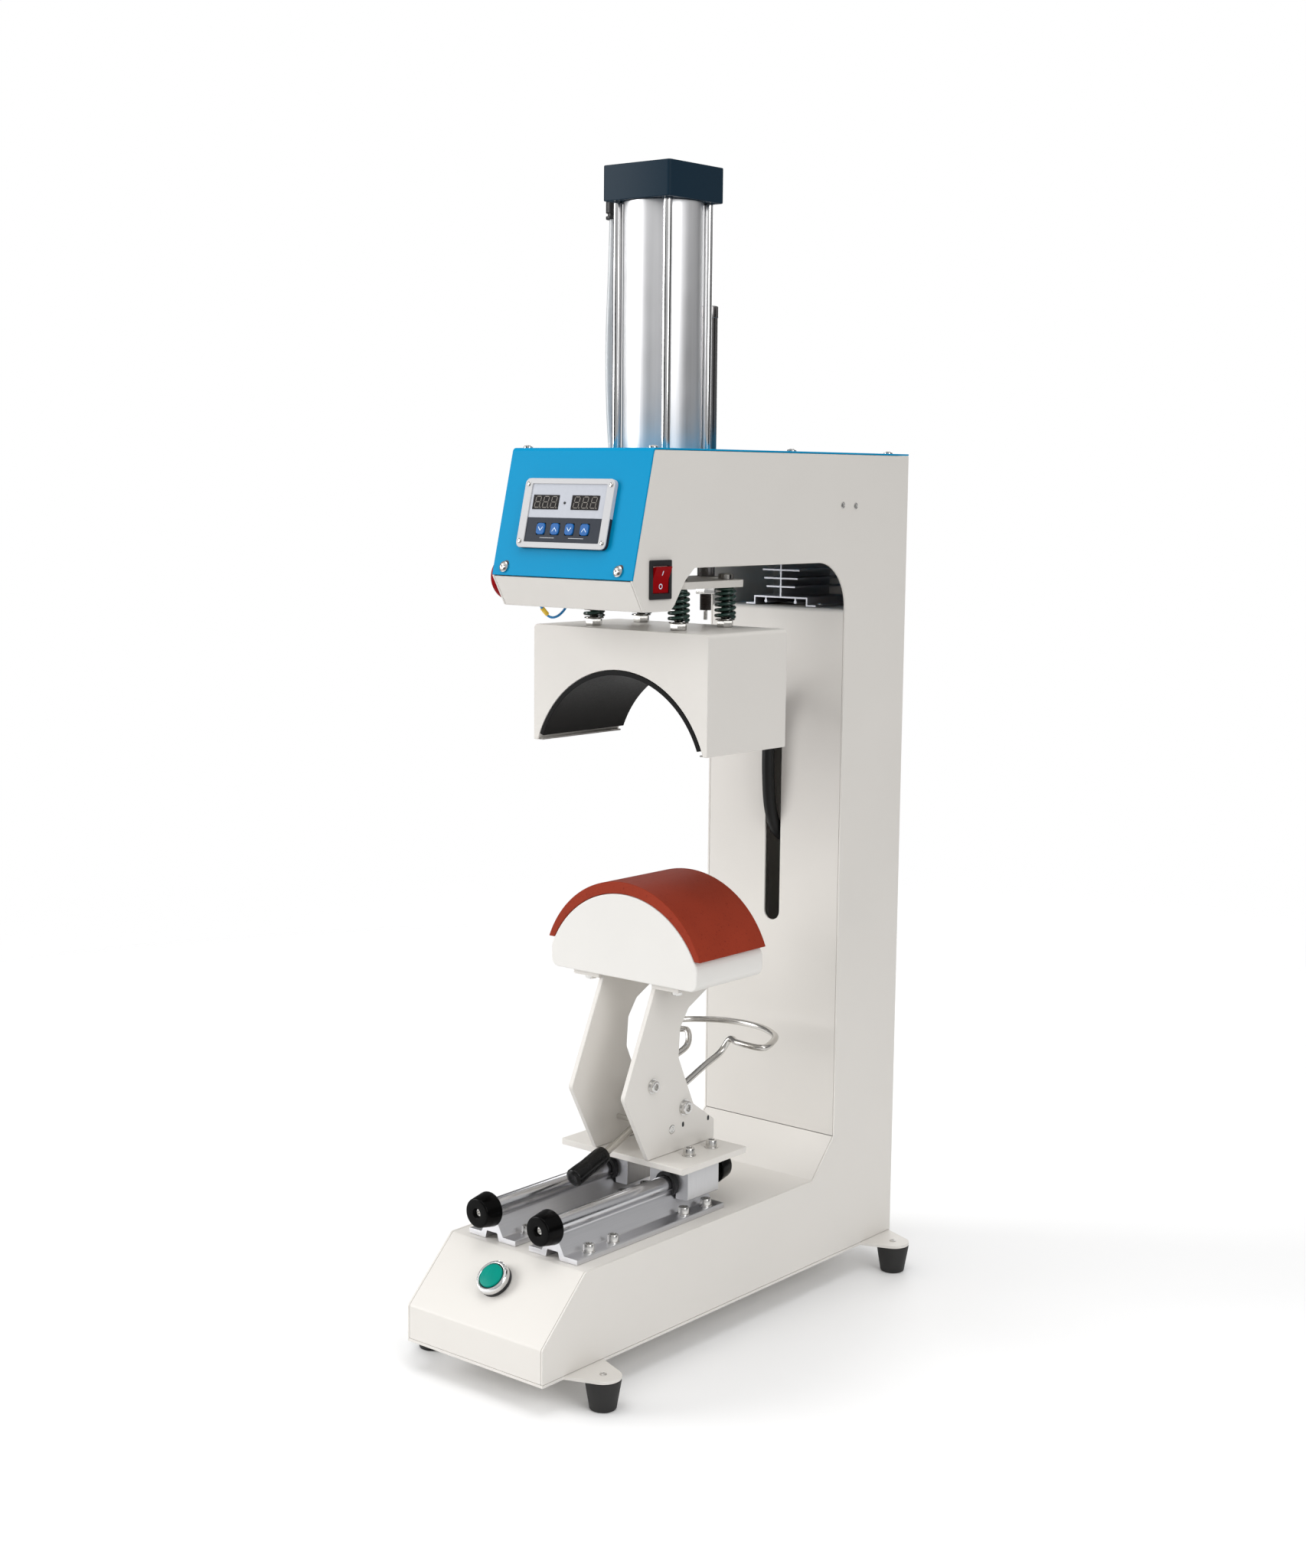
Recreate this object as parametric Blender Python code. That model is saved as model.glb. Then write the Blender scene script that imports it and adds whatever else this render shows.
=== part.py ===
"""Bench heat press for caps, driven by an air cylinder.

A sheet metal body carries a cylinder on its arm. The cylinder lowers a curved heater onto a curved,
padded platen, which stands on a carriage that runs on two rails. Metres, +Z up. Every shape is given
in the press's own frame: x = 0 on the centre line, y = 0 at the front edge, z = 0 under the body.
"""
import math

import bmesh
import bpy
from mathutils import Matrix, Vector

for old in list(bpy.data.objects):
    bpy.data.objects.remove(old, do_unlink=True)

# Driving sizes: the body
body_width = 0.1600
body_depth = 0.5176
foot_height = 0.0300
base_lip_height = 0.0300
slope_depth = 0.0540
deck_height = 0.0829
post_depth = 0.1015
ramp_depth = 0.0335
post_front = body_depth - post_depth
deck_end = post_front - ramp_depth
post_foot_height = 0.1190
arm_underside = 0.6723
arm_top = 0.7731
arm_top_front = 0.1338
chin_start = 0.1068
chin_length = 0.0834
chin_depth = 0.0358
chin_outline_shares = ((0, 0.251), (0.186, 1), (0.605, 1), (0.665, 0.885), (0.851, 0.279), (1, 0))
throat_radius = 0.0432
panel_sheet = 0.0020
lid_sheet = 0.0015
bend_radius = 0.0040

# Driving sizes: the press head and its axis
head_axis_y = 0.2400
press_radius = 0.0960
press_depth = 0.0960
bolt_spacing_x = 0.0980
bolt_spacing_y = 0.0660
guide_setback = 0.0665
cylinder_bore = 0.0630

# Driving sizes: the sliding stand
rail_spacing = 0.0720
rail_height = 0.0291
shaft_diameter = 0.0160
shaft_front = 0.0585
shaft_length = 0.2195

# Fits: touching faces, running fits, and how far every cutter reaches past what it cuts
seat_gap = 0.0003
running_gap = 0.0003
overrun = 0.0020

# How finely round shapes are faceted
round_steps = 24
small_steps = 12
corner_steps = 4
smooth_angle = math.radians(35)


# Looks: base colour, roughness, metallic
cream_paint = ((0.63, 0.60, 0.56), 0.45, 0.0)
blue_paint = ((0.010, 0.347, 0.651), 0.35, 0.0)
black_coating = ((0.020, 0.020, 0.021), 0.40, 0.0)
bare_steel = ((0.56, 0.55, 0.53), 0.32, 1.0)
polished_steel = ((0.72, 0.72, 0.71), 0.14, 1.0)
aluminium = ((0.74, 0.74, 0.73), 0.38, 1.0)
navy_cast = ((0.025, 0.048, 0.072), 0.55, 0.0)
black_plastic = ((0.018, 0.018, 0.020), 0.45, 0.0)
black_rubber = ((0.022, 0.022, 0.022), 0.75, 0.0)
grey_hose = ((0.42, 0.45, 0.46), 0.30, 0.0)
red_plastic = ((0.55, 0.018, 0.014), 0.32, 0.0)
green_plastic = ((0.003, 0.356, 0.202), 0.30, 0.0)
rust_silicone = ((0.392, 0.058, 0.027), 0.70, 0.0)
spring_enamel = ((0.006, 0.030, 0.024), 0.40, 0.3)


def rounded(corners, closed=True):
    """Outline in which each corner (u, v, radius) becomes an arc tangent to both of its edges."""
    points = []
    count = len(corners)
    for index, (u, v, radius) in enumerate(corners):
        here = Vector((u, v))
        if radius == 0 or (not closed and index in (0, count - 1)):
            points.append((u, v))
            continue
        before = Vector(corners[index - 1][:2]) - here
        after = Vector(corners[(index + 1) % count][:2]) - here
        half_angle = before.angle(after) / 2
        reach = min(radius / math.tan(half_angle), before.length / 2, after.length / 2)
        middle = (before.normalized() + after.normalized()).normalized()
        centre = here + middle * (reach / math.cos(half_angle))
        start = here + before.normalized() * reach - centre
        end = here + after.normalized() * reach - centre
        first = math.atan2(start.y, start.x)
        sweep = (math.atan2(end.y, end.x) - first + math.pi) % math.tau - math.pi
        for step in range(corner_steps + 1):
            angle = first + sweep * step / corner_steps
            points.append((centre.x + start.length * math.cos(angle), centre.y + start.length * math.sin(angle)))
    return points


def arc(centre_u, centre_v, radius, first, last, steps):
    """Points on a circle, from the angle first to the angle last, in radians."""
    points = []
    for step in range(steps + 1):
        angle = first + (last - first) * step / steps
        points.append((centre_u + radius * math.cos(angle), centre_v + radius * math.sin(angle)))
    return points


def sheet(path, thickness):
    """Closed outline of a bent sheet: one face on the path, the other thickness to its left."""
    points = [Vector(point) for point in path]
    back = []
    for index, point in enumerate(points):
        coming = (points[max(index, 1)] - points[max(index, 1) - 1]).normalized()
        following = min(index, len(points) - 2)
        going = (points[following + 1] - points[following]).normalized()
        left = Vector((-coming.y - going.y, coming.x + going.x)).normalized()
        stretch = left.dot(Vector((-coming.y, coming.x)))
        back.append(point + left * (thickness / stretch))
    return [tuple(point) for point in points] + [tuple(point) for point in reversed(back)]


def prism(outline, axis, low, high):
    """Straight solid on an outline: (y, z) along X, (x, z) along Y or (x, y) along Z."""
    shape = bmesh.new()
    rings = []
    for level in (low, high):
        if axis == "X":
            corners = [(level, u, v) for u, v in outline]
        elif axis == "Y":
            corners = [(u, level, v) for u, v in outline]
        else:
            corners = [(u, v, level) for u, v in outline]
        rings.append([shape.verts.new(corner) for corner in corners])
    shape.faces.new(rings[0])
    shape.faces.new(rings[1])
    for index in range(len(outline)):
        shape.faces.new((rings[0][index - 1], rings[0][index], rings[1][index], rings[1][index - 1]))
    return shape


def box(x_low, x_high, y_low, y_high, z_low, z_high):
    """Block between two corners."""
    return prism([(x_low, y_low), (x_high, y_low), (x_high, y_high), (x_low, y_high)], "Z", z_low, z_high)


def plate(centre_x, centre_y, width, depth, radius, z_low, z_high):
    """Level plate with rounded corners."""
    left = centre_x - width / 2
    right = centre_x + width / 2
    front = centre_y - depth / 2
    back = centre_y + depth / 2
    corners = [(left, front, radius), (right, front, radius), (right, back, radius), (left, back, radius)]
    return prism(rounded(corners), "Z", z_low, z_high)


def turned(profile, centre, direction=(0, 0, 1), steps=round_steps):
    """Solid turned about an axis through centre; profile points are (radius, height along the axis).

    A profile that starts and ends at radius 0 is solid, any other one is a closed ring.
    """
    shape = bmesh.new()
    rings = []
    for radius, height in profile:
        if radius == 0:
            rings.append([shape.verts.new((0, 0, height))])
            continue
        ring = []
        for step in range(steps):
            angle = math.tau * step / steps
            ring.append(shape.verts.new((radius * math.cos(angle), radius * math.sin(angle), height)))
        rings.append(ring)
    pairs = list(zip(rings, rings[1:]))
    if profile[0][0] > 0:
        pairs.append((rings[-1], rings[0]))
    for lower, upper in pairs:
        for step in range(steps):
            following = (step + 1) % steps
            if len(lower) == 1:
                shape.faces.new((lower[0], upper[following], upper[step]))
            elif len(upper) == 1:
                shape.faces.new((lower[step], lower[following], upper[0]))
            else:
                shape.faces.new((lower[step], lower[following], upper[following], upper[step]))
    turn = Vector((0, 0, 1)).rotation_difference(Vector(direction)).to_matrix().to_4x4()
    shape.transform(Matrix.Translation(centre) @ turn)
    return shape


def rod(centre, direction, radius, low, high, steps=small_steps):
    """Plain cylinder along an axis through centre."""
    return turned([(0, low), (radius, low), (radius, high), (0, high)], centre, direction, steps)


def smooth_route(stations, steps):
    """Points on a smooth curve through the stations (a Catmull-Rom spline)."""
    knots = [Vector(station) for station in stations]
    knots = [knots[0] * 2 - knots[1]] + knots + [knots[-1] * 2 - knots[-2]]
    points = []
    for index in range(1, len(knots) - 2):
        before, start, end, after = knots[index - 1:index + 3]
        for step in range(steps):
            t = step / steps
            points.append(0.5 * (2 * start + (end - before) * t
                                 + (2 * before - 5 * start + 4 * end - after) * t ** 2
                                 + (3 * start - before - 3 * end + after) * t ** 3))
    points.append(knots[-2])
    return points


def finish(piece, look):
    """Give a piece its own material."""
    colour, roughness, metallic = look
    material = bpy.data.materials.new(piece.name + "_material")
    material.use_nodes = True
    shader = material.node_tree.nodes["Principled BSDF"]
    shader.inputs["Base Color"].default_value = (*colour, 1.0)
    shader.inputs["Roughness"].default_value = roughness
    shader.inputs["Metallic"].default_value = metallic
    piece.data.materials.append(material)


def place_of(holder):
    """Where a holder stands in the press's own frame."""
    place = Vector()
    while holder != press:
        place += holder.location
        holder = holder.parent
    return place


def add_holder(name, place, parent):
    """Empty that carries one moving body, on that body's joint axis."""
    holder = bpy.data.objects.new(name, None)
    bpy.context.scene.collection.objects.link(holder)
    holder.parent = parent
    holder.location = Vector(place) - place_of(parent)
    return holder


def add_solid(name, shape, origin, holder):
    """Object made from a shape, with its origin at the given point of the press's frame."""
    bmesh.ops.translate(shape, verts=shape.verts, vec=-Vector(origin))
    bmesh.ops.recalc_face_normals(shape, faces=shape.faces)
    mesh = bpy.data.meshes.new(name)
    shape.to_mesh(mesh)
    shape.free()
    mesh.shade_smooth()
    mesh.set_sharp_from_angle(angle=smooth_angle)
    solid = bpy.data.objects.new(name, mesh)
    bpy.context.scene.collection.objects.link(solid)
    solid.parent = holder
    solid.location = Vector(origin) - place_of(holder)
    return solid


def add_piece(name, shape, look, origin, holder):
    """Named piece of the press with its own material."""
    piece = add_solid(name, shape, origin, holder)
    finish(piece, look)
    return piece


def add_tube(name, points, radius, resolution, look, origin, holder):
    """Round bar or tube along points given in the press's frame."""
    curve = bpy.data.curves.new(name, "CURVE")
    curve.dimensions = "3D"
    curve.bevel_depth = radius
    curve.bevel_resolution = resolution
    curve.use_fill_caps = True
    spline = curve.splines.new("POLY")
    spline.points.add(len(points) - 1)
    for spline_point, point in zip(spline.points, points):
        spline_point.co = (*(Vector(point) - Vector(origin)), 1.0)
    tube = bpy.data.objects.new(name, curve)
    bpy.context.scene.collection.objects.link(tube)
    tube.parent = holder
    tube.location = Vector(origin) - place_of(holder)
    finish(tube, look)
    return tube


def tube_shape(points, radius, steps=small_steps):
    """Round solid along points, one ring of corners at each point and flat ends."""
    shape = bmesh.new()
    route = [Vector(point) for point in points]
    across = Vector((1, 0, 0))
    rings = []
    for index, point in enumerate(route):
        along = (route[min(index + 1, len(route) - 1)] - route[max(index - 1, 0)]).normalized()
        across = (across - along * across.dot(along)).normalized()
        other = along.cross(across)
        ring = []
        for step in range(steps):
            angle = math.tau * step / steps
            ring.append(shape.verts.new(point + (across * math.cos(angle) + other * math.sin(angle)) * radius))
        rings.append(ring)
    shape.faces.new(rings[0])
    shape.faces.new(rings[-1])
    for lower, upper in zip(rings, rings[1:]):
        for step in range(steps):
            following = (step + 1) % steps
            shape.faces.new((lower[step], lower[following], upper[following], upper[step]))
    return shape


def combine(piece, shapes, operation):
    """Cut shapes from a piece, or fuse them to it, with hidden tools."""
    for shape in shapes:
        name = f"{piece.name}_{operation.lower()}_{len(piece.modifiers)}"
        tool = add_solid(name, shape, (0, 0, 0), piece.parent)
        tool.hide_render = True
        tool.display_type = "WIRE"
        modifier = piece.modifiers.new(name, "BOOLEAN")
        modifier.operation = operation
        modifier.object = tool


def cut(piece, *shapes):
    combine(piece, shapes, "DIFFERENCE")


def fuse(piece, *shapes):
    combine(piece, shapes, "UNION")


# Root: the press stands on the floor at z = 0, with its box centred on the origin
press = bpy.data.objects.new("press_origin", None)
bpy.context.scene.collection.objects.link(press)
press.location = (0, -body_depth / 2, foot_height)
body_origin = (0, 0, 0)

half_width = body_width / 2
inner_half = half_width - panel_sheet - seat_gap
lid_seat = lid_sheet + seat_gap

# The slanted face of the arm, as a frame: x across, y up the face, z out of it
chin_points = [(chin_start + share_y * chin_length, arm_underside - share_z * chin_depth)
               for share_y, share_z in chin_outline_shares]
face_foot = Vector(chin_points[0])
face_line = Vector((arm_top_front, arm_top)) - face_foot
face_up = face_line.normalized()
face_out = Vector((-face_up.y, face_up.x))
face_frame = Matrix(((1, 0, 0, 0),
                     (0, face_up.x, face_out.x, face_foot.x),
                     (0, face_up.y, face_out.y, face_foot.y),
                     (0, 0, 0, 1)))

# The slope at the front of the base, as a frame of the same kind
slope_line = Vector((slope_depth, deck_height - base_lip_height))
slope_up = slope_line.normalized()
slope_out = Vector((-slope_up.y, slope_up.x))
slope_frame = Matrix(((1, 0, 0, 0),
                      (0, slope_up.x, slope_out.x, 0),
                      (0, slope_up.y, slope_out.y, base_lip_height),
                      (0, 0, 0, 1)))

# Holders of the moving bodies, each on its joint's axis
guide_y = head_axis_y + guide_setback
stand_y = head_axis_y
shaft_z = deck_height + rail_height
pivot_offset_y = 0.0020
pivot_height = 0.0652
head_drop = 0.0131
head_holder = add_holder("head", (0, head_axis_y, arm_underside - head_drop), press)
platen_holder = add_holder("heated_platen", (0, head_axis_y, arm_underside - head_drop), head_holder)
stand_holder = add_holder("stand", (0, stand_y, shaft_z), press)
lever_pivot = Vector((0, stand_y + pivot_offset_y, shaft_z + pivot_height))
lever_holder = add_holder("lever_axis", lever_pivot, stand_holder)

# Side panels: C-shaped plates that carry everything else
# The lid lies over their top and front edges, so those edges stand back by the lid's seat.
panel_top = arm_top - lid_seat
face_rise = (panel_top - face_foot.y + lid_seat * face_out.y) / face_up.y
panel_top_front = face_foot.x - lid_seat * face_out.x + face_rise * face_up.x
chin_bend = 0.0030
panel_corners = [(0, 0, 0),
                 (body_depth, 0, 0),
                 (body_depth, panel_top, 0),
                 (panel_top_front, panel_top, bend_radius - lid_seat),
                 (face_foot.x - lid_seat * face_out.x, face_foot.y - lid_seat * face_out.y, 0),
                 (*chin_points[0], 0)]
panel_corners += [(y, z, chin_bend) for y, z in chin_points[1:-1]]
panel_corners += [(*chin_points[-1], 0),
                  (post_front, arm_underside, throat_radius),
                  (post_front, post_foot_height, 0),
                  (deck_end, deck_height, bend_radius),
                  (slope_depth, deck_height, bend_radius),
                  (0, base_lip_height, bend_radius)]
panel_outline = rounded(panel_corners)
side_panel_left = add_piece("side_panel_left",
                            prism(panel_outline, "X", -half_width, panel_sheet - half_width),
                            cream_paint, body_origin, press)
side_panel_right = add_piece("side_panel_right",
                             prism(panel_outline, "X", half_width - panel_sheet, half_width),
                             cream_paint, body_origin, press)

# Base deck: lip, slope, deck and the ramp up to the post, one bent sheet between the panels
deck_path = rounded([(0, 0, 0),
                     (0, base_lip_height, bend_radius),
                     (slope_depth, deck_height, bend_radius),
                     (deck_end, deck_height, bend_radius),
                     (post_front, post_foot_height, 0)], closed=False)
base_deck = add_piece("base_deck", prism(sheet(deck_path, -panel_sheet), "X", -inner_half, inner_half),
                      cream_paint, body_origin, press)

# Post front plate: closes the post, bent back at the top into the heatsink's shelf, slotted for the cable
shelf_drop = 0.0446
shelf_depth = 0.0540
slot_width = 0.0183
slot_bottom = 0.3220
slot_top = 0.5600
shelf_top = arm_underside - shelf_drop
post_path = rounded([(post_front, post_foot_height + seat_gap, 0),
                     (post_front, shelf_top, bend_radius),
                     (post_front + shelf_depth, shelf_top, 0)], closed=False)
post_front_plate = add_piece("post_front_plate",
                             prism(sheet(post_path, -panel_sheet), "X", -inner_half, inner_half),
                             cream_paint, body_origin, press)
slot_outline = (arc(0, slot_top - slot_width / 2, slot_width / 2, 0, math.pi, small_steps)
                + arc(0, slot_bottom + slot_width / 2, slot_width / 2, math.pi, math.tau, small_steps))
cut(post_front_plate, prism(slot_outline, "Y", post_front - overrun, post_front + panel_sheet + overrun))

# Rear cover: closes the back from the floor of the body to the lid, with a sunk power inlet
inlet_width = 0.0480
inlet_height = 0.0280
inlet_depth = 0.0200
inlet_wall = 0.0020
inlet_z = 0.0450
rear_cover = add_piece("rear_cover",
                       box(-inner_half, inner_half, body_depth - panel_sheet, body_depth, 0, panel_top),
                       cream_paint, body_origin, press)
fuse(rear_cover, box(-inlet_width / 2 - inlet_wall, inlet_width / 2 + inlet_wall,
                     body_depth - inlet_depth - inlet_wall, body_depth - panel_sheet / 2,
                     inlet_z - inlet_height / 2 - inlet_wall, inlet_z + inlet_height / 2 + inlet_wall))
cut(rear_cover, box(-inlet_width / 2, inlet_width / 2, body_depth - inlet_depth, body_depth + overrun,
                    inlet_z - inlet_height / 2, inlet_z + inlet_height / 2))

# Bottom plate: closes the body from below and reaches out on four tongues to the feet
bottom_sheet = 0.0027
tab_reach = 0.0220
tab_radius = 0.0160
tab_root = 0.0510
front_tab_y = 0.0516
rear_tab_inset = 0.0276
rear_tab_y = body_depth - rear_tab_inset
tab_x = half_width + tab_reach
tab_lean = math.asin((tab_root / 2 - tab_radius) / tab_reach)
bottom_outline = []
for side, tab_rows in ((1, (front_tab_y, rear_tab_y)), (-1, (rear_tab_y, front_tab_y))):
    bottom_outline.append((side * half_width, 0 if side > 0 else body_depth))
    for tab_y in tab_rows:
        facing = 0 if side > 0 else math.pi
        bottom_outline.append((side * half_width, tab_y - side * tab_root / 2))
        bottom_outline += arc(side * tab_x, tab_y, tab_radius, facing - math.pi / 2 + tab_lean,
                              facing + math.pi / 2 - tab_lean, small_steps)
        bottom_outline.append((side * half_width, tab_y + side * tab_root / 2))
    bottom_outline.append((side * half_width, body_depth if side > 0 else 0))
bottom_plate = add_piece("bottom_plate", prism(bottom_outline, "Z", -seat_gap - bottom_sheet, -seat_gap),
                         cream_paint, body_origin, press)

# Feet: four rubber cones under the tongues
foot_top_radius = 0.0158
foot_bottom_radius = 0.0115
foot_edge = 0.0015
foot_top = -seat_gap - bottom_sheet - seat_gap
foot_profile = [(0, -foot_height), (foot_bottom_radius - foot_edge, -foot_height),
                (foot_bottom_radius, foot_edge - foot_height), (foot_top_radius, foot_top - foot_edge),
                (foot_top_radius, foot_top), (0, foot_top)]
for foot_name, foot_x, foot_y in (("foot_front_left", -tab_x, front_tab_y), ("foot_front_right", tab_x, front_tab_y),
                                  ("foot_rear_left", -tab_x, rear_tab_y), ("foot_rear_right", tab_x, rear_tab_y)):
    add_piece(foot_name, turned(foot_profile, (foot_x, foot_y, 0)), black_rubber, (foot_x, foot_y, foot_top), press)

# Head cover: the lid over the arm and down its slanted face, with holes for all that passes through
barrel_wall = 0.0037
barrel_clearance = 0.0010
rod_clearance = 0.0010
guide_hole_clearance = 0.0015
tie_rod_diameter = 0.0080
tie_rod_offset = 0.02825
guide_diameter = 0.0160
hose_diameter = 0.0080
hose_hole_clearance = 0.0007
hose_entry_x = -0.0565
hose_entry_y = head_axis_y
barrel_radius = cylinder_bore / 2 + barrel_wall
lid_end = face_foot + face_up * seat_gap
lid_path = rounded([(body_depth, arm_top, 0), (arm_top_front, arm_top, bend_radius), (*lid_end, 0)], closed=False)
head_cover = add_piece("head_cover", prism(sheet(lid_path, lid_sheet), "X", -half_width, half_width),
                       blue_paint, body_origin, press)
lid_low = arm_top - lid_sheet - overrun
lid_high = arm_top + overrun
cut(head_cover, rod((0, head_axis_y, 0), (0, 0, 1), barrel_radius + barrel_clearance, lid_low, lid_high, round_steps))
for side_x in (-1, 1):
    for side_y in (-1, 1):
        rod_centre = (side_x * tie_rod_offset, head_axis_y + side_y * tie_rod_offset, 0)
        cut(head_cover, rod(rod_centre, (0, 0, 1), tie_rod_diameter / 2 + rod_clearance, lid_low, lid_high))
cut(head_cover,
    rod((0, guide_y, 0), (0, 0, 1), guide_diameter / 2 + guide_hole_clearance, lid_low, lid_high),
    rod((hose_entry_x, hose_entry_y, 0), (0, 0, 1), hose_diameter / 2 + hose_hole_clearance, lid_low, lid_high))

# Chin plate: closes the arm's nose below the slanted face
chin_sheet = 0.0015
chin_way = (Vector(chin_points[1]) - face_foot).normalized()
chin_path = rounded([(*(face_foot + chin_way * chin_sheet), 0)] + [(y, z, chin_bend) for y, z in chin_points[1:]],
                    closed=False)
chin_plate = add_piece("chin_plate", prism(sheet(chin_path, chin_sheet), "X", -inner_half, inner_half),
                       cream_paint, body_origin, press)

# Cylinder mount plate: crosses the arm under the cylinder and holds the guide rod's bush
mount_plate_rise = 0.0177
mount_plate_thickness = 0.0080
mount_plate_front = 0.0600
mount_plate_depth = 0.1450
bush_diameter = 0.0280
bush_drop = 0.0140
rod_diameter = 0.0200
rod_hole_clearance = 0.0020
mount_low = arm_underside + mount_plate_rise
mount_high = mount_low + mount_plate_thickness
cylinder_mount_plate = add_piece("cylinder_mount_plate",
                                 box(-inner_half, inner_half, head_axis_y - mount_plate_front,
                                     head_axis_y - mount_plate_front + mount_plate_depth, mount_low, mount_high),
                                 bare_steel, body_origin, press)
fuse(cylinder_mount_plate, rod((0, guide_y, 0), (0, 0, 1), bush_diameter / 2,
                               mount_low - bush_drop, mount_high - mount_plate_thickness / 2, round_steps))
cut(cylinder_mount_plate,
    rod((0, guide_y, 0), (0, 0, 1), guide_diameter / 2 + running_gap, mount_low - bush_drop - overrun,
        mount_high + overrun),
    rod((0, head_axis_y, 0), (0, 0, 1), rod_diameter / 2 + rod_hole_clearance, mount_low - overrun,
        mount_high + overrun, round_steps))

# Controller: a shallow housing on the slanted face, with wells for its four keys
controller_x = -0.0030
controller_width = 0.1020
controller_height = 0.0608
controller_foot = 0.0245
controller_thickness = 0.0030
controller_corner = 0.0050
key_width = 0.0095
key_height = 0.0100
key_row = 0.0412
key_offsets = (-0.0253, -0.0090, 0.0075, 0.0247)
key_well_depth = 0.0020
key_stand = 0.0010
key_travel = 0.0008
controller = plate(controller_x, controller_foot + controller_height / 2, controller_width, controller_height,
                   controller_corner, seat_gap, seat_gap + controller_thickness)
controller.transform(face_frame)
controller_housing = add_piece("controller_housing", controller, cream_paint, body_origin, press)
well_floor = seat_gap + controller_thickness - key_well_depth
key_low = well_floor + key_travel + running_gap
key_high = seat_gap + controller_thickness + key_stand
key_names = ("key_menu", "key_left", "key_right", "key_power")
for key_name, key_offset in zip(key_names, key_offsets):
    key_x = controller_x + key_offset
    well = plate(key_x, key_row, key_width + running_gap * 2, key_height + running_gap * 2, running_gap,
                 well_floor, seat_gap + controller_thickness + overrun)
    well.transform(face_frame)
    cut(controller_housing, well)
    key = plate(key_x, key_row, key_width, key_height, controller_thickness / 4, key_low, key_high)
    key.transform(face_frame)
    add_piece(key_name, key, blue_paint, face_frame @ Vector((key_x, key_row, key_low)), press)

# Power switch: a housing through the right panel and a rocker that tips on an axis along Y
switch_y = 0.1425
switch_z = 0.6635
switch_width = 0.0280
switch_height = 0.0330
bezel_thickness = 0.0020
switch_body_width = 0.0245
switch_body_height = 0.0270
switch_body_depth = 0.0160
switch_corner = 0.0010
rocker_radius = 0.0114
rocker_width = 0.0210
rocker_depth_share = 0.60
rocker_dish_share = 0.06
rocker_lead = math.radians(6)
rocker_throw = math.radians(24)
switch_outer = half_width + seat_gap + bezel_thickness
bezel_corners = [(switch_y - switch_width / 2, switch_z - switch_height / 2, switch_corner),
                 (switch_y + switch_width / 2, switch_z - switch_height / 2, switch_corner),
                 (switch_y + switch_width / 2, switch_z + switch_height / 2, switch_corner),
                 (switch_y - switch_width / 2, switch_z + switch_height / 2, switch_corner)]
rocker_housing = add_piece("rocker_housing",
                           prism(rounded(bezel_corners), "X", half_width + seat_gap, switch_outer),
                           black_plastic, body_origin, press)
fuse(rocker_housing, box(half_width - switch_body_depth, half_width + seat_gap + bezel_thickness / 2,
                         switch_y - switch_body_width / 2, switch_y + switch_body_width / 2,
                         switch_z - switch_body_height / 2, switch_z + switch_body_height / 2))
cut(rocker_housing, rod((switch_outer, switch_y, switch_z), (0, 1, 0), rocker_radius + running_gap,
                        -rocker_width / 2 - running_gap, rocker_width / 2 + running_gap, round_steps))
cut(side_panel_right, box(half_width - panel_sheet - overrun, half_width + overrun,
                          switch_y - switch_body_width / 2 - seat_gap, switch_y + switch_body_width / 2 + seat_gap,
                          switch_z - switch_body_height / 2 - seat_gap, switch_z + switch_body_height / 2 + seat_gap))
rocker_tilt = rocker_throw / 2
rocker_turn = Matrix.Rotation(rocker_tilt, 2)
rocker_front = arc(0, 0, rocker_radius, math.pi / 2 - rocker_lead, math.pi / 2, 1)
rocker_back = arc(0, 0, rocker_radius, math.pi * 0.75, math.pi * 1.25, small_steps // 2)
rocker_half = [(x, z) for x, z in rocker_front]
rocker_profile = rocker_half + [(max(x, -rocker_depth_share * rocker_radius), z) for x, z in rocker_back]
rocker_profile += [(x, -z) for x, z in reversed(rocker_half)]
rocker_profile.append((-rocker_dish_share * rocker_radius, 0))
rocker_outline = []
for x, z in rocker_profile:
    leaned = Vector((x * math.cos(rocker_tilt) + z * math.sin(rocker_tilt),
                     z * math.cos(rocker_tilt) - x * math.sin(rocker_tilt)))
    rocker_outline.append((switch_outer + leaned.x, switch_z + leaned.y))
add_piece("rocker", prism(rocker_outline, "Y", switch_y - rocker_width / 2, switch_y + rocker_width / 2),
          red_plastic, (switch_outer, switch_y, switch_z), press)

# Emergency stop: a collar on the left panel and a mushroom head that is pushed in along X
estop_y = 0.1440
estop_z = 0.6600
estop_collar_radius = 0.0150
estop_collar_depth = 0.0060
estop_bore_radius = 0.0085
estop_floor = 0.0010
estop_travel = 0.0040
mushroom_radius = 0.0200
mushroom_rim = 0.0060
mushroom_crown = 0.0080
estop_seat = (-half_width - seat_gap, estop_y, estop_z)
estop_stand = estop_collar_depth + estop_travel + running_gap * 2
add_piece("estop_base",
          turned([(0, 0), (estop_collar_radius, 0), (estop_collar_radius, estop_collar_depth),
                  (estop_bore_radius, estop_collar_depth), (estop_bore_radius, estop_floor), (0, estop_floor)],
                 estop_seat, (-1, 0, 0)), black_plastic, body_origin, press)
stem_radius = estop_bore_radius - running_gap
mushroom_profile = [(0, estop_floor + estop_travel + running_gap),
                    (stem_radius, estop_floor + estop_travel + running_gap),
                    (stem_radius, estop_stand), (mushroom_radius, estop_stand)]
crown_steps = 5
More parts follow.
